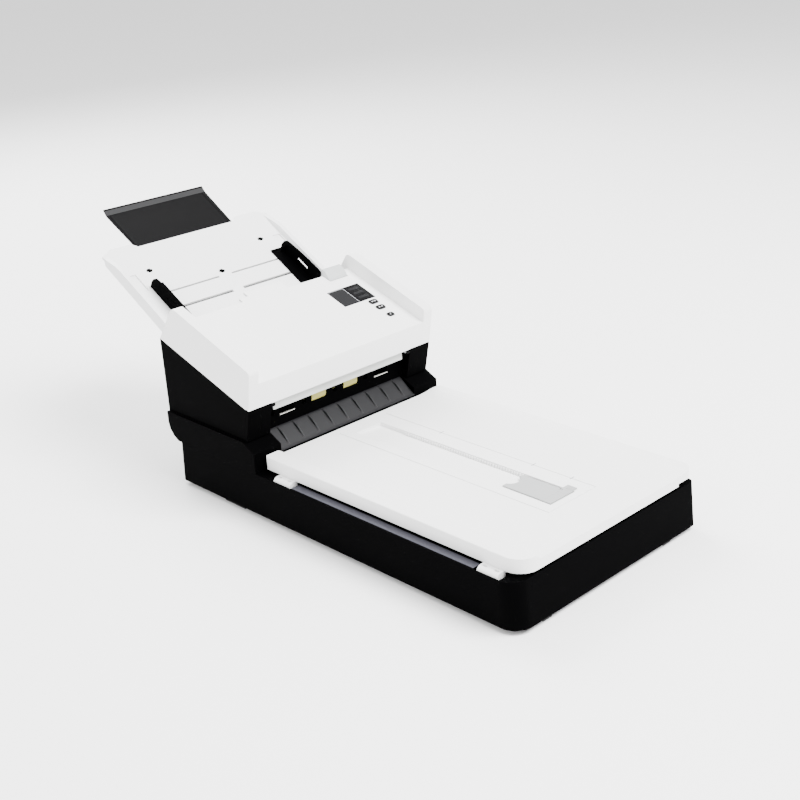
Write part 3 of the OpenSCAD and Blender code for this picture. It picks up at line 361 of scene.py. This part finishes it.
class Finish(Enum):
    """Every finish on the machine."""

    WHITE = Moulded(
        name="white_shell",
        colour=(0.86, 0.86, 0.855),
        flow=(0.84, 0.84, 0.84),
        edge=(0.93, 0.93, 0.93),
        roughness=0.36,
        spread=0.12,
        grain=1500,
        depth=0.07,
    )
    TRAY_WHITE = Moulded(
        name="white_tray",
        colour=(0.84, 0.84, 0.84),
        flow=(0.81, 0.815, 0.82),
        edge=(0.92, 0.92, 0.92),
        roughness=0.42,
        spread=0.1,
        grain=1500,
        depth=0.08,
    )
    BLACK = Moulded(
        name="black_shell",
        colour=(0.0006, 0.0006, 0.0007),
        flow=(0.0004, 0.0004, 0.0005),
        edge=(0.003, 0.003, 0.0032),
        roughness=0.55,
        spread=0.16,
        grain=900,
        depth=0.14,
        specular=0.008,
    )
    SHELF = Moulded(
        name="black_inner",
        colour=(0.0025, 0.0025, 0.0028),
        flow=(0.0018, 0.0018, 0.002),
        edge=(0.008, 0.008, 0.0083),
        roughness=0.5,
        spread=0.15,
        grain=1100,
        depth=0.12,
        specular=0.03,
    )
    # Grey shelf strip: partly the shelf's grey tone, partly painted sheen of the black tub top in
    # the light.
    DECK_TONE_AND_SHEEN = Moulded(
        name="deck_grey_and_sheen",
        colour=(0.05, 0.05, 0.062),
        flow=(0.042, 0.042, 0.052),
        edge=(0.08, 0.08, 0.092),
        roughness=0.5,
        spread=0.12,
        grain=1100,
        depth=0.12,
        specular=0.1,
    )
    RAMP = Moulded(
        name="grey_ramp",
        colour=(0.011, 0.011, 0.012),
        flow=(0.008, 0.008, 0.009),
        edge=(0.07, 0.07, 0.073),
        roughness=0.4,
        spread=0.12,
        grain=1300,
        depth=0.08,
        specular=0.15,
    )
    EXTENSION = Moulded(
        name="grey_extension",
        colour=(0.0045, 0.0045, 0.0048),
        flow=(0.0035, 0.0035, 0.0037),
        edge=(0.02, 0.02, 0.0205),
        roughness=0.46,
        spread=0.14,
        grain=1300,
        depth=0.1,
        specular=0.03,
    )
    LIP = Moulded(
        name="grey_lip",
        colour=(0.026, 0.026, 0.027),
        flow=(0.02, 0.02, 0.021),
        edge=(0.05, 0.05, 0.05),
        roughness=0.42,
        spread=0.12,
        grain=1300,
        depth=0.08,
        specular=0.08,
    )
    STOPPER = Moulded(
        name="pale_grey",
        colour=(0.36, 0.365, 0.365),
        flow=(0.32, 0.325, 0.325),
        edge=(0.5, 0.5, 0.5),
        roughness=0.35,
        spread=0.1,
        grain=1500,
        depth=0.07,
    )
    BUTTON = Moulded(
        name="button_black",
        colour=(0.003, 0.003, 0.0035),
        flow=(0.002, 0.002, 0.0025),
        edge=(0.12, 0.12, 0.125),
        roughness=0.2,
        spread=0.08,
        grain=1600,
        depth=0.03,
        edge_radius=0.0004,
        specular=0.1,
        coat=0.05,
    )
    PALE = Moulded(
        name="pale_acetal",
        colour=(0.7, 0.71, 0.72),
        flow=(0.67, 0.68, 0.69),
        edge=(0.85, 0.85, 0.85),
        roughness=0.28,
        spread=0.08,
        grain=1600,
        depth=0.05,
        edge_radius=0.0006,
    )
    CLEAR = Moulded(
        name="smoke_clear",
        colour=(0.68, 0.7, 0.7),
        flow=(0.63, 0.65, 0.65),
        edge=(0.85, 0.86, 0.86),
        roughness=0.2,
        spread=0.1,
        grain=1200,
        depth=0.04,
        edge_radius=0.0008,
        specular=0.5,
        coat=0.3,
        transmission=0.35,
    )
    FILM = Moulded(
        name="milky_film",
        colour=(0.75, 0.76, 0.74),
        flow=(0.66, 0.67, 0.65),
        edge=(0.85, 0.85, 0.84),
        roughness=0.3,
        spread=0.15,
        grain=400,
        depth=0.08,
        edge_radius=0.0002,
        specular=0.5,
        coat=0.0,
        transmission=0.3,
    )
    SCREEN = Moulded(
        name="screen_window",
        colour=(0.01, 0.01, 0.011),
        flow=(0.008, 0.008, 0.009),
        edge=(0.03, 0.03, 0.032),
        roughness=0.14,
        spread=0.05,
        grain=600,
        depth=0.01,
        edge_radius=0.0003,
        specular=0.1,
        coat=0.05,
    )
    SCREEN_DARK = Moulded(
        name="screen_dark",
        colour=(0.002, 0.002, 0.0025),
        flow=(0.0015, 0.0015, 0.002),
        edge=(0.006, 0.006, 0.006),
        roughness=0.14,
        spread=0.05,
        grain=600,
        depth=0.01,
        edge_radius=0.0003,
        specular=0.06,
        coat=0.02,
    )
    PRINT = Moulded(
        name="grey_print",
        colour=(0.25, 0.26, 0.27),
        flow=(0.22, 0.23, 0.24),
        edge=(0.3, 0.3, 0.3),
        roughness=0.5,
        spread=0.1,
        grain=1800,
        depth=0.05,
        edge_radius=0.0001,
    )
    LEGEND = Moulded(
        name="pale_legend",
        colour=(0.5, 0.51, 0.53),
        flow=(0.42, 0.43, 0.45),
        edge=(0.6, 0.6, 0.6),
        roughness=0.4,
        spread=0.05,
        grain=900,
        depth=0.02,
        edge_radius=0.0001,
    )
    ROLLER = Moulded(
        name="khaki_rubber",
        colour=(0.5, 0.46, 0.13),
        flow=(0.44, 0.4, 0.1),
        edge=(0.58, 0.54, 0.2),
        roughness=0.6,
        spread=0.15,
        grain=900,
        depth=0.35,
    )
    KHAKI = Moulded(
        name="khaki_strip",
        colour=(0.3, 0.28, 0.2),
        flow=(0.26, 0.24, 0.17),
        edge=(0.36, 0.34, 0.25),
        roughness=0.55,
        spread=0.1,
        grain=900,
        depth=0.2,
    )
    GREY_RUBBER = Moulded(
        name="grey_rubber",
        colour=(0.05, 0.055, 0.06),
        flow=(0.04, 0.045, 0.05),
        edge=(0.08, 0.08, 0.09),
        roughness=0.65,
        spread=0.15,
        grain=900,
        depth=0.35,
    )
    RUBBER = Moulded(
        name="black_rubber",
        colour=(0.02, 0.02, 0.02),
        flow=(0.015, 0.015, 0.015),
        edge=(0.04, 0.04, 0.04),
        roughness=0.7,
        spread=0.15,
        grain=800,
        depth=0.4,
    )
    FOAM = Moulded(
        name="white_foam",
        colour=(0.8, 0.8, 0.79),
        flow=(0.76, 0.76, 0.75),
        edge=(0.86, 0.86, 0.86),
        roughness=0.8,
        spread=0.15,
        grain=700,
        depth=0.5,
    )
    BOARD = Moulded(
        name="board_green",
        colour=(0.015, 0.14, 0.05),
        flow=(0.01, 0.1, 0.035),
        edge=(0.03, 0.2, 0.08),
        roughness=0.35,
        spread=0.15,
        grain=500,
        depth=0.15,
        edge_radius=0.0003,
        specular=0.5,
        coat=0.3,
    )
    MOTOR = Moulded(
        name="motor_grey",
        colour=(0.09, 0.09, 0.1),
        flow=(0.07, 0.07, 0.08),
        edge=(0.2, 0.2, 0.2),
        roughness=0.4,
        spread=0.15,
        grain=900,
        depth=0.15,
    )
    GLASS = Moulded(
        name="bed_glass",
        colour=(0.82, 0.88, 0.87),
        flow=(0.8, 0.87, 0.86),
        edge=(0.6, 0.8, 0.75),
        roughness=0.03,
        spread=0.02,
        grain=300,
        depth=0.0,
        edge_radius=0.0003,
        specular=0.5,
        coat=0.0,
        transmission=0.9,
    )
    STEEL = Machined(
        name="drawn_steel",
        colour=(0.62, 0.62, 0.64),
        line=(0.45, 0.45, 0.47),
    )
    BRASS = Machined(
        name="bright_edge",
        colour=(0.8, 0.78, 0.72),
        line=(0.6, 0.58, 0.52),
        roughness=0.18,
    )


@dataclass
class Wardrobe:
    """Makes each finish once and puts it on nodes and pieces."""

    made: dict[Finish, bpy.types.Material] = field(default_factory=dict)
    groups: dict[type, bpy.types.NodeTree] = field(default_factory=dict)

    def open(self) -> "Wardrobe":
        """Build the shared effects and return the wardrobe itself."""
        self.groups = {Moulded: build_mould_group(), Machined: build_brush_group()}
        return self

    def material(self, finish: Finish) -> bpy.types.Material:
        """Give the material of a finish, which is made on first use.

        Args:
            finish: The finish wanted.

        Returns:
            Its material.
        """
        if finish not in self.made:
            self.made[finish] = finish.value.make(self.groups[type(finish.value)])
        return self.made[finish]

    def dress_node(self, node: bpy.types.Object, finish: Finish) -> None:
        """Give a frame node its finish.

        Args:
            node: The frame's object, whose mesh stays as it is.
            finish: The finish to show.
        """
        material = self.material(finish)
        if not node.material_slots:
            node.data.materials.append(material)
        for slot in node.material_slots:
            slot.material = material

    def dress_piece(self, piece: bpy.types.Object, finish: Finish) -> None:
        """Give an added fitting its finish."""
        piece.data.materials.append(self.material(finish))


# ---------------------------------------------------------------- shapes


@dataclass(frozen=True)
class Slope:
    """A sloping face of the machine with its own along and above directions."""

    origin: tuple[float, float]
    degrees: float

    def matrix(self) -> Matrix:
        """Return the face's placement in the machine."""
        place = Matrix.Translation((0.0, self.origin[0], self.origin[1]))
        return place @ Matrix.Rotation(math.radians(self.degrees), 4, "X")


LEVEL = Slope(origin=(0.0, 0.0), degrees=0.0)
PANEL = Slope(origin=(0.1282, 0.1729), degrees=19.06)
TRAY = Slope(origin=(0.365, 0.2315), degrees=30.0)
LIP_FACE = Slope(origin=(0.5094, 0.3098), degrees=47.6)


def plate(
    name: str,
    outline: Outline,
    low: float,
    high: float,
    on: Slope = LEVEL,
    soften: float = 0.0,
) -> bpy.types.Object:
    """Make a flat piece from a plan outline.

    Args:
        name: The piece's name.
        outline: Corner points across and along the face, in order round it.
        low: Height of the underside above the face.
        high: Height of the top above the face.
        on: The face it lies on.
        soften: Radius of the rounded edges, or nothing for sharp ones.

    Returns:
        The new object.
    """
    mesh = bpy.data.meshes.new(name)
    shape = bmesh.new()
    ring = [shape.verts.new((x, y, low)) for x, y in outline]
    base = shape.faces.new(ring)
    raised = bmesh.ops.extrude_face_region(shape, geom=[base])
    tops = [v for v in raised["geom"] if isinstance(v, bmesh.types.BMVert)]
    bmesh.ops.translate(shape, verts=tops, vec=(0.0, 0.0, high - low))
    bmesh.ops.recalc_face_normals(shape, faces=shape.faces)
    if soften > 0.0:
        bmesh.ops.bevel(
            shape,
            geom=list(shape.edges),
            offset=soften,
            segments=2,
            profile=0.7,
            affect="EDGES",
            clamp_overlap=True,
        )
    shape.transform(on.matrix())
    shape.to_mesh(mesh)
    shape.free()
    piece = bpy.data.objects.new(name, mesh)
    bpy.context.collection.objects.link(piece)
    return piece


def rectangle(x0: float, x1: float, y0: float, y1: float) -> Outline:
    """Return the corner points of a rectangle."""
    return [(x0, y0), (x1, y0), (x1, y1), (x0, y1)]


@dataclass
class Fitter:
    """Places added fittings: dresses them, lets them ride and reports them."""

    wardrobe: Wardrobe

    def fit(self, piece: bpy.types.Object, finish: Finish, body: Body, slot: str) -> None:
        """Finish one fitting.

        Args:
            piece: The new object, in place.
            finish: Its finish.
            body: The frame body it moves with.
            slot: Not used.
        """
        self.wardrobe.dress_piece(piece, finish)
        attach(piece, body.value)
        LOG.info("fitted %s on %s", piece.name, body.value)


# ---------------------------------------------------------------- sub-assemblies


@dataclass
class SubAssembly:
    """What every sub-assembly has: the frame's nodes, the wardrobe and a fitter."""

    nodes: dict[str, bpy.types.Object]
    wardrobe: Wardrobe
    fitter: Fitter

    def finishes(self) -> dict[str, Finish]:
        """Return the finish of each frame node in this sub-assembly."""
        return {}

    def details(self) -> None:
        """Add the fittings of this sub-assembly, if it has any."""

    def build(self) -> None:
        """Dress the frame's nodes and add the fittings."""
        for name, finish in self.finishes().items():
            self.wardrobe.dress_node(self.nodes[name], finish)
            LOG.info("dressed %s in %s", name, finish.value.name)
        self.details()


@dataclass
class Base(SubAssembly):
    """The tub with the flatbed's works, boards, sockets and feet."""

    half_width: float = 0.158
    wall: float = 0.0028
    deck: float = 0.061
    strip_right: float = -0.1437
    strip_front: float = -0.2283
    strip_back: float = 0.0633

    def finishes(self) -> dict[str, Finish]:
        """Return the finish of each node of the base."""
        return {
            "guide_rod": Finish.STEEL,
            "hinge_pins": Finish.STEEL,
            "case_screws": Finish.STEEL,
            "drive_pulley": Finish.STEEL,
            "idler_pulley": Finish.STEEL,
            "usb_socket": Finish.STEEL,
            "base_tub": Finish.BLACK,
            "switch_housing": Finish.BLACK,
            "power_rocker": Finish.BLACK,
            "dc_inlet": Finish.BLACK,
            "base_plate": Finish.SHELF,
            "carriage_frame": Finish.SHELF,
            "cis_flatbed": Finish.SHELF,
            "rubber_feet": Finish.RUBBER,
            "scan_belt": Finish.RUBBER,
            "platen_glass": Finish.GLASS,
            "calibration_strip": Finish.FOAM,
            "scan_motor": Finish.MOTOR,
            "main_board": Finish.BOARD,
        }

    def details(self) -> None:
        """Add the grey strip on the recessed shelf beside the lid, partly its grey tone and partly
        painted sheen of the black top.
        """
        left = -self.half_width + self.wall
        outline = rectangle(left, self.strip_right, self.strip_front, self.strip_back)
        # Grey strip on the black shelf, partly painted sheen.
        strip = plate("deck_grey_and_sheen_strip", outline, self.deck - SUNK, self.deck + PROUD)
        self.fitter.fit(strip, Finish.DECK_TONE_AND_SHEEN, Body.HOUSING, "shell_black")


@dataclass
class Lid(SubAssembly):
    """The flatbed's lid with its paper stop."""

    top: float = 0.076
    mark_places: tuple[float, ...] = (0.0142, -0.1356, -0.1928)
    mark_left: float = 0.0466
    mark_right: float = 0.0545
    mark_half: float = 0.0005
    mark_sunk: float = 0.0004

    def finishes(self) -> dict[str, Finish]:
        """Return the finish of each node of the lid."""
        return {
            "lid_shell": Finish.WHITE,
            "lid_liner": Finish.TRAY_WHITE,
            "lid_pad": Finish.FOAM,
            "lid_hinges": Finish.WHITE,
            "stopper_slider": Finish.STOPPER,
            "stopper_flap": Finish.STOPPER,
        }

    def details(self) -> None:
        """Add the short printed lines beside the recess."""
        low, high = self.top - self.mark_sunk, self.top + PROUD
        for index, y in enumerate(self.mark_places):
            near, far = y - self.mark_half, y + self.mark_half
            outline = rectangle(self.mark_left, self.mark_right, near, far)
            mark = plate(f"size_mark_{index + 1}", outline, low, high)
            self.fitter.fit(mark, Finish.PRINT, Body.LID, "shell_white")


@dataclass
class Tower(SubAssembly):
    """The feeder tower with its exit ramp, rollers and drive."""

    notch_edges: tuple[tuple[float, float], ...] = ((-0.0924, -0.0684), (0.0684, 0.0924))
    notch_front: float = 0.1532
    notch_back: float = 0.1562
    notch_low: float = 0.1108
    notch_high: float = 0.1117
    notch_soften: float = 0.0001

    def finishes(self) -> dict[str, Finish]:
        """Return the finish of each node of the tower."""
        return {
            "mid_housing": Finish.BLACK,
            "side_cover_left": Finish.BLACK,
            "side_cover_right": Finish.BLACK,
            "rear_cover": Finish.BLACK,
            "tower_frame": Finish.BLACK,
            "lower_guide": Finish.SHELF,
            "cis_lower": Finish.SHELF,
            "exit_shaft": Finish.STEEL,
            "feed_shaft": Finish.STEEL,
            "pick_shaft": Finish.STEEL,
            "adf_motor_pulley": Finish.STEEL,
            "exit_ramp": Finish.RAMP,
            "adf_motor": Finish.MOTOR,
            "drive_belts": Finish.RUBBER,
            "exit_rollers": Finish.ROLLER,
            "feed_roller": Finish.GREY_RUBBER,
            "pick_roller": Finish.GREY_RUBBER,
        }

    def details(self) -> None:
        """Add the bright metal strips on the edges of the outer notches."""
        for index, (left, right) in enumerate(self.notch_edges):
            edge = plate(
                f"notch_edge_{index + 1}",
                rectangle(left, right, self.notch_front, self.notch_back),
                self.notch_low,
                self.notch_high,
                soften=self.notch_soften,
            )
            self.fitter.fit(edge, Finish.BRASS, Body.HOUSING, "steel")


@dataclass
class Cover(SubAssembly):
    """The feeder's opening cover with its screen, buttons and latch."""

    button_x: float = 0.113
    scan_s: float = 0.0701
    copy_s: float = 0.0556
    power_s: float = 0.0361
    cap_top: float = 0.001
    cap_print: float = 0.00005
    icon_offset: float = 0.0022
    icon_half_width: float = 0.0012
    icon_half_depth: float = 0.0009
    stroke_reach: float = 0.0017
    stroke_width: float = 0.0004
    screen_face: float = -0.0001
    screen_left: float = 0.0708
    screen_divider: float = 0.0967
    screen_right: float = 0.1238
    screen_near: float = 0.0789
    screen_far: float = 0.1154
    pane_proud: float = 0.00002
    line_proud: float = 0.00004
    far_line: float = 0.0006
    divider_line: float = 0.0005
    divider_start: float = 0.001
    faint_left: float = 0.1020
    faint_right: float = 0.1185
    faint_places: tuple[float, ...] = (0.0850, 0.0955, 0.1060)
    faint_depth: float = 0.0045

    def finishes(self) -> dict[str, Finish]:
        """Return the finish of each node of the cover."""
        return {
            "adf_cover": Finish.WHITE,
            "upper_guide": Finish.SHELF,
            "cis_upper": Finish.SHELF,
            "exit_film": Finish.FILM,
            "display_window": Finish.SCREEN,
            "control_board": Finish.BOARD,
            "button_scan": Finish.BUTTON,
            "button_copy": Finish.BUTTON,
            "button_power": Finish.BUTTON,
            "release_latch": Finish.CLEAR,
            "pinch_rollers": Finish.PALE,
            "retard_roller": Finish.GREY_RUBBER,
        }

    def details(self) -> None:
        """Add the screen's fields and the button marks."""
        self.screen()
        self.legends()

    def screen(self) -> None:
        """Add the right hand pane, its faint fields and the thin bright lines."""
        face, near, far = self.screen_face, self.screen_near, self.screen_far
        pane = rectangle(self.screen_divider, self.screen_right, near, far)
        dark = plate("screen_field", pane, face - PROUD, face + self.pane_proud, PANEL)
        self.fitter.fit(dark, Finish.SCREEN_DARK, Body.COVER, "display")
        divider, start = self.screen_divider, near + self.divider_start
        lines = {
            "screen_far_line": rectangle(self.screen_left, divider, far - self.far_line, far),
            "screen_divider_line": rectangle(divider - self.divider_line, divider, start, far),
        }
        for name, outline in lines.items():
            line = plate(name, outline, face - PROUD, face + self.line_proud, PANEL)
            self.fitter.fit(line, Finish.LEGEND, Body.COVER, "display")
        for index, s in enumerate(self.faint_places):
            outline = rectangle(self.faint_left, self.faint_right, s, s + self.faint_depth)
            faint = plate(f"screen_faint_{index + 1}", outline, face, face + self.line_proud, PANEL)
            self.fitter.fit(faint, Finish.SCREEN, Body.COVER, "display")

    def legends(self) -> None:
        """Add the small generic marks on the three button caps."""
        low, high = self.cap_top - PROUD, self.cap_top + self.cap_print
        wide, deep = self.icon_half_width, self.icon_half_depth
        for body, s in ((Body.SCAN_BUTTON, self.scan_s), (Body.COPY_BUTTON, self.copy_s)):
            for side in (-1, 1):
                x = self.button_x + side * self.icon_offset
                outline = rectangle(x - wide, x + wide, s - deep, s + deep)
                mark = plate(f"{body.value}_mark_{side}", outline, low, high, PANEL)
                self.fitter.fit(mark, Finish.LEGEND, body, "button_plastic")
        x, s, reach, width = self.button_x, self.power_s, self.stroke_reach, self.stroke_width
        outline = [
            (x - reach, s - reach),
            (x - reach + width, s - reach - width),
            (x + reach, s + reach),
            (x + reach - width, s + reach + width),
        ]
        stroke = plate("power_button_mark", outline, low, high, PANEL)
        self.fitter.fit(stroke, Finish.LEGEND, Body.POWER_BUTTON, "button_plastic")


@dataclass
class InputTray(SubAssembly):
    """The sloping tray with its guides and extension."""

    catch_places: Outline = field(
        default_factory=lambda: [(-0.0942, 0.0446), (0.0942, 0.0446), (0.0, 0.0083)]
    )
    catch_arm: float = 0.0046
    catch_half: float = 0.0034
    catch_step: float = 0.0026
    notch_left: float = -0.0055
    notch_right: float = 0.001
    notch_near: float = -0.0545
    notch_far: float = -0.046
    lip_half_width: float = 0.083
    lip_near: float = 0.0004
    lip_far: float = 0.0079
    strip_half_width: float = 0.0765
    strip_near: float = 0.0925
    strip_far: float = 0.0945
    strip_low: float = -0.0046
    strip_high: float = -0.0042
    strip_soften: float = 0.0001

    def finishes(self) -> dict[str, Finish]:
        """Return the finish of each node of the tray."""
        return {
            "feed_tray": Finish.TRAY_WHITE,
            "tray_bottom": Finish.TRAY_WHITE,
            "paper_guide_left": Finish.BLACK,
            "paper_guide_right": Finish.BLACK,
            "guide_pinion": Finish.PALE,
            "extension_plate": Finish.EXTENSION,
        }

    def catch_outline(self, x: float, v: float) -> Outline:
        """Return the outline of a small cross-shaped catch.

        Args:
            x: Its middle across the tray.
            v: Its middle along the tray.

        Returns:
            The corner points, in order round the cross.
        """
        arm, half, step = self.catch_arm, self.catch_half, self.catch_step
        return [
            (x - step, v - half),
            (x + step, v - half),
            (x + step, v - half / 2),
            (x + arm, v - half / 2),
            (x + arm, v + half / 2),
            (x + step, v + half / 2),
            (x + step, v + half),
            (x - step, v + half),
            (x - step, v + half / 2),
            (x - arm, v + half / 2),
            (x - arm, v - half / 2),
            (x - step, v - half / 2),
        ]

    def details(self) -> None:
        """Add the catches on the tray and the lip and strip of the extension."""
        for index, (x, v) in enumerate(self.catch_places):
            mark = plate(f"tray_mark_{index + 1}", self.catch_outline(x, v), -SUNK, PROUD, TRAY)
            self.fitter.fit(mark, Finish.BLACK, Body.HOUSING, "shell_black")
        corner = [
            (self.notch_left, self.notch_near),
            (self.notch_right, self.notch_far),
            (self.notch_right, self.notch_near),
        ]
        notch = plate("tray_notch", corner, -SUNK, PROUD, TRAY)
        self.fitter.fit(notch, Finish.BLACK, Body.HOUSING, "shell_black")
        outline = rectangle(-self.lip_half_width, self.lip_half_width, self.lip_near, self.lip_far)
        face = plate("extension_lip_face", outline, -SUNK, PROUD, LIP_FACE)
        self.fitter.fit(face, Finish.LIP, Body.EXTENSION, "grey_plastic")
        strip = plate(
            "extension_strip",
            rectangle(
                -self.strip_half_width, self.strip_half_width, self.strip_near, self.strip_far
            ),
            self.strip_low,
            self.strip_high,
            TRAY,
            self.strip_soften,
        )
        self.fitter.fit(strip, Finish.KHAKI, Body.EXTENSION, "grey_plastic")


# ---------------------------------------------------------------- studio


@dataclass(frozen=True)
class Lamp:
    """A square soft light, with its side length and its power in watts."""

    name: str
    place: Point
    aim: Point
    size: float
    power: float

    def add(self) -> None:
        """Put the light in the studio."""
        data = bpy.data.lights.new(self.name, "AREA")
        data.shape = "SQUARE"
        data.size = self.size
        data.energy = self.power
        lamp = bpy.data.objects.new(self.name, data)
        lamp.location = self.place
        towards = Vector(self.aim) - Vector(self.place)
        lamp.rotation_euler = towards.to_track_quat("-Z", "Y").to_euler()
        bpy.context.collection.objects.link(lamp)


@dataclass
class Studio:
    """Pale floor, soft lights and the camera."""

    camera_place: Point = (-1.0019, -1.0410, 0.7308)
    azimuth: float = -43.06
    elevation: float = 23.04
    roll: float = -3.41
    lens_mm: float = 58.58
    sensor_mm: float = 36.0
    shift: tuple[float, float] = (-0.0026, 0.0237)
    sight: float = 50.0
    floor_half: float = 30.0
    floor_shade: float = 0.94
    floor_roughness: float = 0.7
    floor_specular: float = 0.1
    sky_strength: float = 1.5
    lamps: tuple[Lamp, ...] = (
        Lamp("key_light", place=(0.6, -1.6, 2.6), aim=(0.0, 0.0, 0.05), size=1.8, power=330.0),
        Lamp("left_light", place=(-2.4, 0.1, 1.4), aim=(0.0, 0.1, 0.1), size=1.6, power=30.0),
        Lamp("back_light", place=(0.5, 2.2, 1.9), aim=(0.0, 0.2, 0.15), size=1.8, power=150.0),
    )

    def camera(self) -> None:
        """Place the camera."""
        a, e, r = (math.radians(v) for v in (self.azimuth, self.elevation, self.roll))
        back = Vector((math.sin(a) * math.cos(e), -math.cos(a) * math.cos(e), math.sin(e)))
        right = Vector((math.cos(a), math.sin(a), 0.0))
        up = back.cross(right)
        across = right * math.cos(r) + up * math.sin(r)
        above = up * math.cos(r) - right * math.sin(r)
        turn = Matrix((across, above, back)).transposed().to_4x4()
        data = bpy.data.cameras.new("studio_camera")
        data.lens = self.lens_mm
        data.sensor_width = self.sensor_mm
        data.shift_x, data.shift_y = self.shift
        data.clip_end = self.sight
        camera = bpy.data.objects.new("studio_camera", data)
        camera.matrix_world = Matrix.Translation(self.camera_place) @ turn
        bpy.context.collection.objects.link(camera)
        bpy.context.scene.camera = camera

    def floor(self) -> None:
        """Add the pale floor and the even sky."""
        mesh = bpy.data.meshes.new("studio_floor")
        shape = bmesh.new()
        bmesh.ops.create_grid(shape, x_segments=2, y_segments=2, size=self.floor_half)
        shape.to_mesh(mesh)
        shape.free()
        floor = bpy.data.objects.new("studio_floor", mesh)
        bpy.context.collection.objects.link(floor)
        material = bpy.data.materials.new("pale_floor")
        material.use_nodes = True
        shader = material.node_tree.nodes["Principled BSDF"]
        shade = self.floor_shade
        shader.inputs["Base Color"].default_value = (shade, shade, shade, 1.0)
        shader.inputs["Roughness"].default_value = self.floor_roughness
        shader.inputs["Specular IOR Level"].default_value = self.floor_specular
        mesh.materials.append(material)
        world = bpy.data.worlds.new("studio_sky")
        world.use_nodes = True
        sky = world.node_tree.nodes["Background"]
        sky.inputs["Color"].default_value = (1.0, 1.0, 1.0, 1.0)
        sky.inputs["Strength"].default_value = self.sky_strength
        bpy.context.scene.world = world

    def build(self) -> None:
        """Set up the whole studio."""
        self.camera()
        self.floor()
        for lamp in self.lamps:
            lamp.add()


def main() -> None:
    """Build the scanner's looks and the studio."""
    logging.basicConfig(level=logging.INFO, format="%(name)s %(message)s")
    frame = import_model()
    wardrobe = Wardrobe().open()
    fitter = Fitter(wardrobe)
    for kind in (Base, Lid, Tower, Cover, InputTray):
        kind(frame["nodes"], wardrobe, fitter).build()
    Studio().build()


if __name__ == "__main__":
    main()
